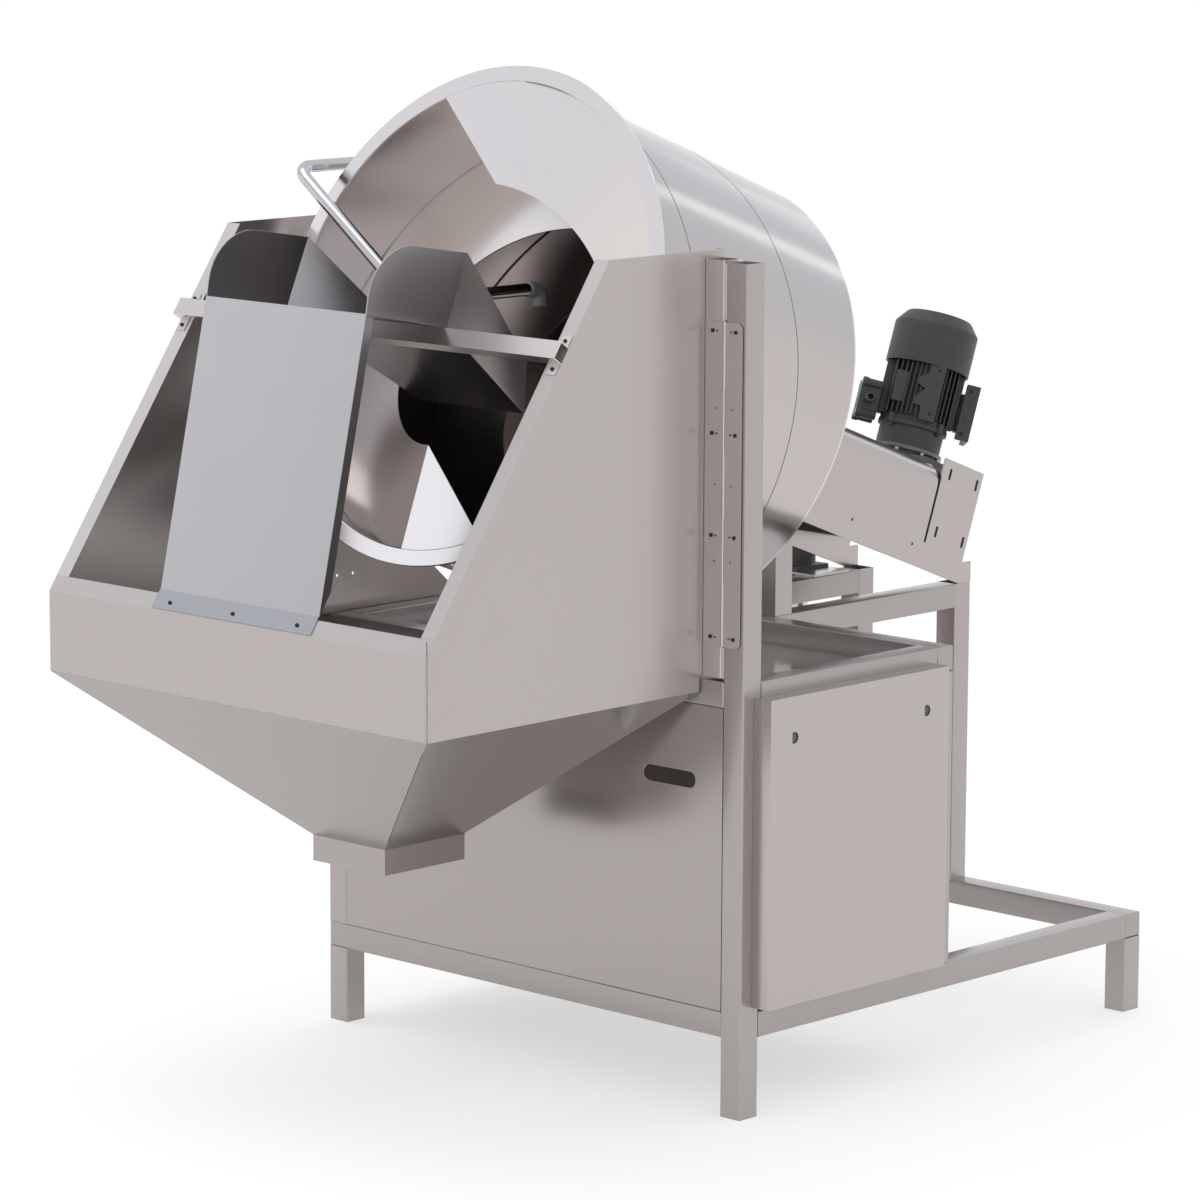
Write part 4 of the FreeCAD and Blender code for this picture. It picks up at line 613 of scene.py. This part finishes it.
class SALTING_OT_drum(bpy.types.Operator):
    """Rolled shell, the ring round the mouth and the rear head"""
    bl_idname = "salting.drum"
    bl_label = "Drum shell"

    def execute(self, context):
        steps = sizes().drum_steps
        inner, outer, ring = 552.5 * MM, 555.5 * MM, 590 * MM
        length, lap, bulge, wall = 739 * MM, 8 * MM, 80 * MM, 4 * MM
        work = Work()
        work.add(lathe([(inner, -lap), (outer, -lap), (outer, -length), (inner, -length)], DRUM, steps, True), "drum")
        work.stand_in("drum_shell", "rolled")

        edge = 1.2 * MM
        work = Work()
        work.add(lathe([(inner, -edge), (inner + edge, 0), (ring - edge, 0), (ring, -edge), (ring, edge - lap),
                        (ring - edge, -lap), (inner + edge, -lap), (inner, edge - lap)], DRUM, steps, True), "flight")
        work.stand_in("drum_mouth_ring", "flat")

        hub, bore = 120 * MM, 35.05 * MM
        turn = np.linspace(0, 1, 8)
        slope = np.column_stack([outer + (hub - outer) * turn, -length - bulge * turn])
        back = slope[::-1] - [0, wall]
        work = Work()
        profile = [*slope, (bore, -length - bulge), (bore, -length - bulge - wall), *back]
        work.add(lathe(profile, DRUM, steps, True), "flight")
        work.stand_in("drum_rear_head", "pressed")
        return {"FINISHED"}


def helix(radius, start, low, high, steps):
    """One turn about the drum's axis from one depth to another, in even steps: (r cos a, r sin a, depth)."""
    share = np.linspace(0, 1, steps)
    angle = start + 2 * np.pi * share
    depth = low + (high - low) * share
    return np.column_stack([radius * np.cos(angle), radius * np.sin(angle), depth])


class SALTING_OT_flights(bpy.types.Operator):
    """Two helical flights with their gussets, weld beads and the seams that they leave on the shell"""
    bl_idname = "salting.flights"
    bl_label = "Flights"

    def execute(self, context):
        inner, outer, shell, thick, length = 309 * MM, 552.3 * MM, 555.2 * MM, 4 * MM, 739 * MM
        steps, bead, half = sizes().drum_steps, sizes().weld_radius, sizes().seam_width / 2
        strip = np.array([(0, half), (0.5 * MM, half), (0.5 * MM, -half), (0, -half)])
        gussets, beads, seams = Work(), Work(), Work()
        for i, start in enumerate((math.pi / 2, 1.5 * math.pi)):
            lines = [helix(r, start, low, low + length - thick, steps) for r, low in (
                (inner, -length), (outer, -length), (outer, -length + thick), (inner, -length + thick))]
            work = Work()
            work.add(seat(skin(np.stack(lines, 1)), DRUM), "flight")
            work.stand_in("flight_%d" % (i + 1), "helix")

            angle = start + np.radians(np.linspace(0, 24.6, 12))
            arc = outer * np.column_stack([np.cos(angle), np.sin(angle)])
            tip = inner * np.array([[math.cos(start), math.sin(start)]])
            gussets.add(prism(np.concatenate([tip, arc]), -3 * MM, 0, DRUM), "flight")

            line = helix(outer - 0.4 * bead, start, -length + thick + 0.6 * bead, -0.6 * bead, steps)
            beads.add(seat(skin(carried(circle(bead, 8), line, (0, 0, 1))), DRUM), "bright")
            line = helix(shell, start, -length + thick, -10 * MM, steps)
            seams.add(seat(skin(carried(strip, line, (0, 0, 1))), DRUM), "seam")
        gussets.stand_in("flight_gussets", "flat")
        beads.piece("flight_weld_beads", "drum", "drum_steel")
        seams.piece("drum_shell_seams", "drum", "drum_steel")
        return {"FINISHED"}


class SALTING_OT_hood(bpy.types.Operator):
    """Hood plates, hopper, spout, crossbar and its upright tube"""
    bl_idname = "salting.hood"
    bl_label = "Hood"

    def execute(self, context):
        # Painted light and shade: the hood plates have the lighter hood copy of the sheet, the left plate and the
        # crossbar the lighter leaf steel so that their shaded insides show brighter, and the hopper and the spout the
        # darker front copies.
        softened_all({"hood_right_plate": "hood", "hood_left_plate": "leaf", "hood_front_panel": "hood",
                      "crossbar": "leaf", "hood_hopper": "hopper", "hood_spout": "front"})

        low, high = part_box("hood_tube")
        plate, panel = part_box("hood_right_plate"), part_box("hood_front_panel")
        work = Work()
        work.add(square_tube("z", low, high, sizes().tube_wall, sizes().tube_corner), "leaf")
        corner = 1.5 * sizes().tube_corner
        work.add(block(low, (low.x + corner, low.y + corner, high.z), MACHINE, 0.2 * MM), "leaf")
        work.stand_in("hood_tube", "ground")

        hopper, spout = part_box("hood_hopper"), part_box("hood_spout")
        thin = 0.9 * MM
        work = Work()
        upright = [(plate[1].x - 0.4 * thin, panel[0].y + 2 * MM, z) for z in (hopper[1].z, panel[1].z - MM)]
        work.add(skin(carried(circle(thin, 8), upright, (1, 0, 0))), "seam")
        edge = np.linspace((plate[1].x, panel[0].y, hopper[1].z), (spout[1].x, spout[0].y, spout[1].z), 12)[1:-1]
        work.add(skin(carried(circle(thin, 8), edge, (0.3, 0.5, 0.8))), "seam")
        work.piece("hood_seams", "hood", "sheet_steel")
        return {"FINISHED"}


class SALTING_OT_chute(bpy.types.Operator):
    """Folded loading chute"""
    bl_idname = "salting.chute"
    bl_label = "Loading chute"

    def execute(self, context):
        softened_all({"chute": "chute"})
        return {"FINISHED"}


def hex_bolt(work, place, across, height, finish="fastener"):
    """A washer and a hexagonal head whose upper rim is turned down to a smaller circle."""
    hexagon = circle(across / math.sqrt(3), 6)
    work.add(prism(circle(across * 0.62, 24), 0, height * 0.18, place), finish)
    work.add(rimmed_prism(hexagon, hexagon * 0.9, height * 0.18, height, height * 0.12, place), finish)


def button_screw(work, place, radius, height, finish="fastener"):
    """A low domed head with a hexagonal socket that is a dark hexagon, painted shade: the dome's radius times the
    cosine, its height times the sine.
    """
    angle = np.linspace(0, math.radians(66), 6)
    profile = np.column_stack([radius * np.cos(angle), height * np.sin(angle)])
    work.add(lathe([(radius, -0.2 * MM), *profile], place, 24), finish)
    # Painted shade: the socket is a dark hexagon, not a recess.
    work.add(prism(circle(radius * 0.36, 6), height * 0.8, height * 0.96, place), "seam")


class SALTING_OT_hinge(bpy.types.Operator):
    """Hinge leaves, knuckles, pin and all screws of the hood"""
    bl_idname = "salting.hinge"
    bl_label = "Hinge and screws"

    def execute(self, context):
        softened_all({"hinge_leaf_post": "leaf", "hinge_leaf_hood": "leaf"}, 0.3 * MM)
        softened_all({"hinge_pin": "leaf", "hood_screws": "screw"}, 0)
        self.leaf_screws()
        self.gap_light_and_leaf_shadow()
        return {"FINISHED"}

    def leaf_screws(self):
        """Two screws side by side at four heights of each leaf, and small holes between them."""
        low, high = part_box("hinge_screws_post")
        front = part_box("hinge_leaf_post")[0].y + 0.4 * MM
        radius = sizes().screw_radius
        away = (low.x + high.x) / 2 - HINGE[0]
        heights = np.linspace(low.z + radius, high.z - radius, 4)
        for side, body, stands_for in ((1, "frame", ("hinge_screws_post",)), (-1, "hood", ())):
            work = Work()
            for height in heights:
                for x, r in ((away, radius), (away - 13 * MM, 0.45 * radius)):
                    place = facing((HINGE[0] + side * x, front, height), (0, -1, 0), (1, 0, 0))
                    button_screw(work, place, r, 0.55 * r, "screw")
            # Painted shade: the small holes are dark discs, not openings.
            for height in np.mean(heights) + np.array((-170.5, 0, 170.5)) * MM:
                place = facing((HINGE[0] + side * (away - 10 * MM), front, height), (0, -1, 0), (1, 0, 0))
                work.add(prism(circle(1.7 * MM, 12), -MM, 0.15 * MM, place), "seam")
            work.piece("hinge_leaf_screws_" + ("post" if side > 0 else "hood"), body, "fasteners", stands_for)

    def gap_light_and_leaf_shadow(self):
        """A pale strip in the gap between post and hood, painted light where the gap would show dark, and a painted
        shadow: the dark line round the post's leaf.
        """
        tube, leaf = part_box("front_right_post"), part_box("hinge_leaf_post")
        face = tube[0].y
        work = Work()
        edge, left = 0.5 * MM, HINGE[0] - 3 * MM
        for bottom, top in ((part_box("hood_tube")[0].z, leaf[0].z - 2 * MM), (leaf[1].z + 4 * MM, tube[1].z - 2 * MM)):
            # Painted light: a pale mirror-like strip set in the gap so that it shows bright.
            work.add(block((left, face + edge, bottom), (tube[0].x, face + 5 * edge, top), MACHINE, 0.3 * MM), "deck")
        work.piece("hinge_gap_light_strip", "frame", "sheet_steel")

        # Painted shadow: a dark outline just wider than the post's leaf, where the leaf shades the post.
        outline = rounded_rectangle(2 * 52 * MM, leaf[1].z - leaf[0].z + 1.6 * MM, 16.5 * MM, 8)
        outline = np.column_stack([np.maximum(outline[:, 0], 40 * MM), outline[:, 1]])
        place = facing((tube[0].x, face, (leaf[0].z + leaf[1].z) / 2), (0, -1, 0), (1, 0, 0))
        work = Work()
        work.add(prism(outline, -0.1 * MM, 0.35 * MM, place), "seam")
        work.piece("hinge_leaf_shadow_line", "frame", "fasteners")


class SALTING_OT_drive(bpy.types.Operator):
    """Housing behind the drum, bearings, shaft and gear unit"""
    bl_idname = "salting.drive"
    bl_label = "Drive"

    def execute(self, context):
        softened_all({"drive_housing": "sheet", "bearing_plates": "sheet"})
        softened("gear_case", "casting", MM)
        softened_all({"drum_shaft": "bright", "flange_bearings": "casting", "drive_bolts": "fastener",
                      "bevel_wheel": "bright", "bevel_pinion": "bright"}, 0)
        return {"FINISHED"}


class SALTING_OT_motor(bpy.types.Operator):
    """Motor with its neck, fins, fan cover, terminal box and foot"""
    bl_idname = "salting.motor"
    bl_label = "Motor"

    foot, top = 180 * MM, 338 * MM     # the body's ends along the shaft
    core, tip = 86 * MM, 100 * MM      # radius of the body and of its fins' tips

    def execute(self, context):
        self.neck()
        self.fan_cover()
        self.body()
        self.terminal_box()
        self.foot_plate()
        softened("motor_rotor", "bright", 0)
        return {"FINISHED"}

    def neck(self):
        """Round neck with its flange, a bare machined ring at its base, and hexagonal bolts under both."""
        low, ring, flange = 96 * MM, (107 * MM, 117 * MM), self.foot - 12 * MM
        ring_bolts, flange_bolts, lug, lug_length = 84 * MM, 86 * MM, 10 * MM, 24 * MM
        work = Work()
        profile = bent_path([(81.5 * MM, low), (81.5 * MM, flange), (88 * MM, flange), (88 * MM, self.foot)],
                            (3 * MM, MM), 5)
        work.add(lathe(profile, MOTOR_BODY), "motor")
        profile = bent_path([(60 * MM, ring[0]), (89 * MM, ring[0]), (89 * MM, ring[1]), (60 * MM, ring[1])], MM, 4)
        work.add(lathe(profile, MOTOR_BODY), "alloy")
        for angle in np.radians(22.5 + 45 * np.arange(8)):
            out = np.array([math.cos(angle), math.sin(angle), 0])
            at = in_frame(MOTOR_BODY, ring_bolts * out + [0, 0, ring[0]])
            hex_bolt(work, facing(at, -MOTOR_BODY[0][:, 2], MOTOR_BODY[0][:, 0]), 9 * MM, 7 * MM)
        for angle in np.radians(45 + 90 * np.arange(4)):
            out = np.array([math.cos(angle), math.sin(angle), 0])
            at = in_frame(MOTOR_BODY, flange_bolts * out + [0, 0, flange])
            place = facing(at, -MOTOR_BODY[0][:, 2], MOTOR_BODY[0] @ out)
            work.add(prism(circle(lug, 20), -lug_length, 0, place), "motor")
            hex_bolt(work, place, 12 * MM, 8 * MM, "motor")
        work.stand_in("reducer_neck", "turned")

    def fan_cover(self):
        """Pressed cover with a conical shoulder, and rings of slots on its face that are painted shade: dark rings, not
        openings.
        """
        wall, low, high, face, cone = 2.5 * MM, self.top - 11 * MM, 463 * MM, 81 * MM, 32 * MM
        inner, outer, slot, proud = self.tip + 0.3 * MM, 106 * MM, 5 * MM, 0.2 * MM
        profile = bent_path([(face - wall, high - wall), (inner, high - cone - wall), (inner, low), (outer, low),
                             (outer, high - cone), (face, high), (0.5 * face, high)],
                            (2 * MM, 0.4 * MM, 0.4 * MM, 9 * MM, 8 * MM), 6)
        work = Work()
        work.add(lathe(profile, MOTOR_BODY), "motor")
        for radius in (22 * MM, 36 * MM, 50 * MM, 64 * MM):
            ring = [(radius, high - MM), (radius + slot, high - MM), (radius + slot, high + proud),
                    (radius, high + proud)]
            work.add(lathe(ring, MOTOR_BODY, 64, True), "hole")
        work.stand_in("motor_fan_cover", "pressed")

    def body(self):
        """A round core, fins square to its four sides whose tips lie on a circle, a pad and a blank plate."""
        low, high, step, thick = self.foot + 12 * MM, self.top - 11 * MM, sizes().fin_step, 3.4 * MM
        work = Work()
        profile = bent_path([(70 * MM, self.foot), (self.core, self.foot), (self.core, self.top), (70 * MM, self.top)],
                            2 * MM, 4)
        work.add(lathe(profile, MOTOR_BODY), "motor")
        for degrees, most in ((0, 7), (90, 2), (180, 7), (270, 2)):
            angle = math.radians(degrees)
            side = facing(MOTOR_BODY[1], MOTOR_BODY[0][:, 2], MOTOR_BODY[0] @ (math.cos(angle), math.sin(angle), 0))
            for place in step * np.arange(-most, most + 1):
                root = math.sqrt(self.core ** 2 - place ** 2) - 4 * MM
                end = math.sqrt(self.tip ** 2 - (abs(place) + thick / 2) ** 2)
                work.add(block((root, place - thick / 2, low), (end, place + thick / 2, high), side, 0.9 * MM), "motor")

        pad = facing(MOTOR_BODY[1], MOTOR_BODY[0][:, 0], MOTOR_BODY[0][:, 1])
        outline = MM * np.array([(40, 186), (40, 327), (0, 327), (0, 304), (-24, 288), (-24, 274), (-1, 264),
                                 (-18, 245), (-25, 233), (-22, 220), (-2, 219), (0, 186)])
        work.add(prism(outline, self.core - 6 * MM, self.tip + 1.5 * MM, pad), "motor")
        face = self.tip + 1.5 * MM
        # Painted shade: the pad's holes are dark discs.
        for height, radius in ((204, 4.5), (237, 2), (282, 2), (316, 4.5)):
            work.add(prism(circle(radius * MM, 20) + [24 * MM, height * MM], face - MM, face + 0.15 * MM, pad), "hole")
        plate = rounded_rectangle(34 * MM, 77 * MM, 2 * MM) + [-60 * MM, 259 * MM]
        work.add(prism(plate, 70 * MM, 82 * MM, pad), "motor")
        work.stand_in("motor_body", "finned")

    def terminal_box(self):
        """A box and a lid with round lobes at the corners, each with a screw, and a hollow gland on one side."""
        low, width, height = 162 * MM, 96 * MM, 104 * MM
        inner, joint, outer = self.tip + 0.3 * MM, self.tip + 38 * MM, self.tip + 52 * MM
        side = facing(in_frame(MOTOR_BODY, (0, 0, low + height / 2)), -MOTOR_BODY[0][:, 1], MOTOR_BODY[0][:, 0])
        lobe = 14 * MM
        shape = lobed_rectangle(width, height, lobe)
        work = Work()
        work.add(prism(lobed_rectangle(width - 4 * MM, height - 4 * MM, lobe - 2 * MM), inner, joint, side), "motor")
        work.add(rimmed_prism(shape, shape * 0.97, joint, outer, 2 * MM, side), "motor")
        for x in (-1, 1):
            for y in (-1, 1):
                at = in_frame(side, (x * (width / 2 - lobe), y * (height / 2 - lobe), outer - 0.5 * MM))
                button_screw(work, facing(at, side[0][:, 2], side[0][:, 0]), 4 * MM, 2.5 * MM)
        gland = facing(in_frame(side, (width / 2 - 10 * MM, 0, inner + 26 * MM)), side[0][:, 0], side[0][:, 1])
        corners = MM * np.array([(11, 0), (13, 22), (12, 36), (7, 36), (6.5, 14), (6, 12)])
        profile = bent_path(corners, (2 * MM, MM, MM, MM), 4)
        work.add(lathe(profile, gland, 32), "motor")
        work.stand_in("motor_terminal_box", "cast")

    def foot_plate(self):
        """The foot as it is in CAD, with a leg that has two large and two small holes."""
        softened("motor_foot_plate", "motor", MM)
        low, high = 168 * MM, 310 * MM
        leg = facing(MOTOR_BODY[1], MOTOR_BODY[0][:, 0], MOTOR_BODY[0][:, 1])
        work = Work()
        outline = rounded_rectangle(24 * MM, high - low, 3 * MM) + [117 * MM, (low + high) / 2]
        work.add(prism(outline, 34 * MM, 44 * MM, leg), "motor")
        # Painted shade: the leg's holes are dark discs.
        for height, radius in ((low + 16 * MM, 5), (low + 48 * MM, 1.8), (high - 48 * MM, 1.8), (high - 16 * MM, 5)):
            work.add(prism(circle(radius * MM, 20) + [118 * MM, height], 43 * MM, 44.4 * MM, leg), "hole")
        work.piece("motor_foot_leg", "frame", "motor_black")


class SALTING_OT_brine(bpy.types.Operator):
    """Brine pipe with its nozzle and stand, tank and pump"""
    bl_idname = "salting.brine"
    bl_label = "Brine side"

    oblique = (0.53, 0.62, 0.58)       # along none of the pipe's runs

    def execute(self, context):
        self.pipe()
        self.tank()
        softened_all({"pipe_stand": "tube_z", "tank_tray": "sheet", "pump_bracket": "sheet"})
        softened_all({"pump_body": "casting", "pump_motor": "motor", "pump_rotor": "bright"}, 0)
        return {"FINISHED"}

    def pipe(self):
        """A circle carried along the pipe's runs and bends, and a milky elbow that widens to a collar at its end."""
        (x0, y0, z0), (x1, y1, z1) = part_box("feed_pipe")
        (nx0, ny0, nz0), (nx1, ny1, nz1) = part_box("spray_nozzle")
        r, collar, bend = sizes().pipe_radius, 19 * MM, 45 * MM
        left, front, rear, low, top = x0 + r, y0 + r, y1 - r, z0 + r, z1 - r
        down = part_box("pipe_stand")[1].y - r - 5 * MM
        into, level = (nx0 + nx1) / 2, nz1 - collar
        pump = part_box("pump_body")
        route = [((pump[0].x + pump[1].x) / 2 - 55 * MM, rear, low), (left, rear, low), (left, down, low),
                 (left, down, top), (left, front, top), (into, front, level), (into, ny0 + 12 * MM, level)]
        work = Work()
        work.add(skin(carried(circle(r, 32), bent_path(route, bend, 14), self.oblique)), "bright")
        work.stand_in("feed_pipe", "bent")

        end = ny1 - collar
        route = bent_path([(into, ny0, level), (into, end, level), (into, end, nz0)], 22 * MM, 14)
        along = np.linspace(0, 1, len(route))
        outer = collar * (0.93 + 0.07 * np.cos(2 * np.pi * along) ** 2)
        outside = carried(circle(1.0, 32), route, self.oblique, outer)
        inside = carried(circle(1.0, 32), route, self.oblique, 13.5 * MM)
        work = Work()
        work.add(skin(np.concatenate([outside, inside[::-1]]), True), "nozzle")
        work.stand_in("spray_nozzle", "elbow")

    def tank(self):
        """A turned tank with rolled beads, and its lid."""
        low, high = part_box("brine_tank")
        radius, wall = (high.x - low.x) / 2, 3 * MM
        place = (np.eye(3), np.array([(low.x + high.x) / 2, (low.y + high.y) / 2, low.z]))
        tall = high.z - low.z
        share = np.linspace(0, 1, 80)
        bead = 1.2 * MM * (1 - np.cos(2 * np.pi * np.clip((share - 0.15) * 20, 0, 1))) / 2
        bead = bead + 1.2 * MM * (1 - np.cos(2 * np.pi * np.clip((share - 0.85) * 20, 0, 1))) / 2
        side = np.column_stack([radius - bead, tall * share])
        profile = [*side, (radius - wall, tall), (radius - wall, wall)]
        work = Work()
        work.add(lathe(profile, place), "drum")
        work.stand_in("brine_tank", "rolled")

        softened("tank_lid", "sheet", MM)


# Stage

def lamp(name, place, width, height, level, colour=(1, 1, 1)):
    """A soft rectangular lamp aimed at the machine's middle: its power is its face's brightness times pi times area."""
    data = bpy.data.lights.new(name, "AREA")
    data.shape, data.size, data.size_y, data.color = "RECTANGLE", width, height, colour
    data.energy = level * math.pi * width * height
    made = bpy.data.objects.new(name, data)
    bpy.context.scene.collection.objects.link(made)
    made.visible_camera = False
    made.location = place
    made.rotation_mode = "QUATERNION"
    made.rotation_quaternion = (Vector((0, 0, 1.1)) - Vector(place)).to_track_quat("-Z", "Y")


class SALTING_OT_stage(bpy.types.Operator):
    """Pale floor, soft lamps, bright surroundings and the camera"""
    bl_idname = "salting.stage"
    bl_label = "Stage"

    def execute(self, context):
        scene = context.scene
        scene.view_settings.view_transform = "Standard"
        world = bpy.data.worlds.new("studio")
        scene.world = world
        world.use_nodes = True
        sketch = Sketch(world.node_tree)

        def seen():
            rays = [sketch.node("ShaderNodeLightPath", None, None, ray)
                    for ray in ("Is Camera Ray", "Is Glossy Ray", "Is Transmission Ray")]
            return (rays[0] + rays[1] + rays[2]) > 0.5

        dim, grey, glow_level = 0.72, 0.62, 0.56     # world for diffuse light, floor's paint, floor's glow when seen
        strength = dim + seen() * (1 - dim)
        place = sketch.node("ShaderNodeTexCoord", None, None, "Object")
        up = sketch.node("ShaderNodeSeparateXYZ", None, {"Vector": place}, "Z")
        above = sketch.node("ShaderNodeMapRange", {"clamp": True}, {"Value": up, "From Min": 0.08, "From Max": 0.3})
        sky = sketch.mixed(above * seen(), (1, 1, 1), (0.88, 0.93, 1.0))
        back = sketch.node("ShaderNodeBackground", None, {"Color": sky, "Strength": strength})
        end = sketch.tree.nodes.new("ShaderNodeOutputWorld")
        sketch.tree.links.new(back.socket, end.inputs["Surface"])

        mesh = bpy.data.meshes.new("floor")
        mesh.from_pydata([(-40, -40, 0), (40, -40, 0), (40, 40, 0), (-40, 40, 0)], [], [(0, 1, 2, 3)])
        floor = bpy.data.objects.new("floor", mesh)
        scene.collection.objects.link(floor)
        paint, sketch = material("floor_pale")
        matt = sketch.node("ShaderNodeBsdfDiffuse", None, {"Color": (grey, grey, grey, 1)})
        glow = sketch.node("ShaderNodeEmission", None, {"Color": (1, 1, 1, 1), "Strength": seen() * glow_level})
        ended(sketch, sketch.node("ShaderNodeAddShader", None, {0: matt, 1: glow}))
        mesh.materials.append(paint)

        lamp("lamp_above", (-1.5, -1.5, 6.5), 4, 4, 1.1)
        lamp("lamp_left_front", (-6, -5, 3.2), 3, 3, 0.35, (0.85, 0.93, 1.0))
        lamp("lamp_behind", (0.2, 7.5, 4.0), 0.7, 3.2, 0.7)
        lamp("lamp_rear_left", (-2.4, 7.0, 3.0), 1.7, 2.8, 0.22)
        lamp("lamp_rear_low", (-4.7, 6.3, 1.3), 0.6, 2.0, 0.5)

        data = bpy.data.cameras.new("camera")
        data.lens, data.sensor_width = 151.1, 36
        data.clip_start, data.clip_end = 0.1, 200
        camera = bpy.data.objects.new("camera", data)
        scene.collection.objects.link(camera)
        yaw, pitch, roll = (math.radians(v) for v in (43.547, 9.536, 0.275))
        ahead = np.array([-math.sin(yaw) * math.cos(pitch), math.cos(yaw) * math.cos(pitch), -math.sin(pitch)])
        right = np.cross(ahead, [0, 0, 1])
        right /= np.linalg.norm(right)
        up = np.cross(right, ahead)
        side, top = (math.cos(roll) * right + math.sin(roll) * up, math.cos(roll) * up - math.sin(roll) * right)
        camera.matrix_world = Matrix([[side[i], top[i], -ahead[i], place] for i, place in
                                      enumerate((7.97635, -8.563467, 3.03))] + [[0, 0, 0, 1]])
        scene.camera = camera
        return {"FINISHED"}


PIECE_OPERATORS = (SALTING_OT_frame, SALTING_OT_cabinet, SALTING_OT_drum, SALTING_OT_flights, SALTING_OT_hood,
                   SALTING_OT_chute, SALTING_OT_hinge, SALTING_OT_drive, SALTING_OT_motor, SALTING_OT_brine,
                   SALTING_OT_stage)


class SALTING_PT_panel(bpy.types.Panel):
    """Lists the pieces in the sidebar"""
    bl_idname = "SALTING_PT_panel"
    bl_label = "Meat salting machine"
    bl_space_type = "VIEW_3D"
    bl_region_type = "UI"
    bl_category = "Salting machine"

    def draw(self, context):
        for group in (context.scene.salting_sizes, context.scene.salting_colours):
            for name in group.__annotations__:
                self.layout.prop(group, name)
        for operator in PIECE_OPERATORS:
            self.layout.operator(operator.bl_idname)


CLASSES = (SaltingSizes, SaltingColours, *PIECE_OPERATORS, SALTING_PT_panel)


def register():
    for cls in CLASSES:
        bpy.utils.register_class(cls)
    bpy.types.Scene.salting_sizes = bpy.props.PointerProperty(type=SaltingSizes)
    bpy.types.Scene.salting_colours = bpy.props.PointerProperty(type=SaltingColours)


def unregister():
    del bpy.types.Scene.salting_colours
    del bpy.types.Scene.salting_sizes
    for cls in reversed(CLASSES):
        bpy.utils.unregister_class(cls)


def main():
    register()
    make_finishes(bpy.context.scene.salting_colours)
    for operator in PIECE_OPERATORS:
        group, name = operator.bl_idname.split(".")
        getattr(getattr(bpy.ops, group), name)()


if __name__ == "__main__":
    main()
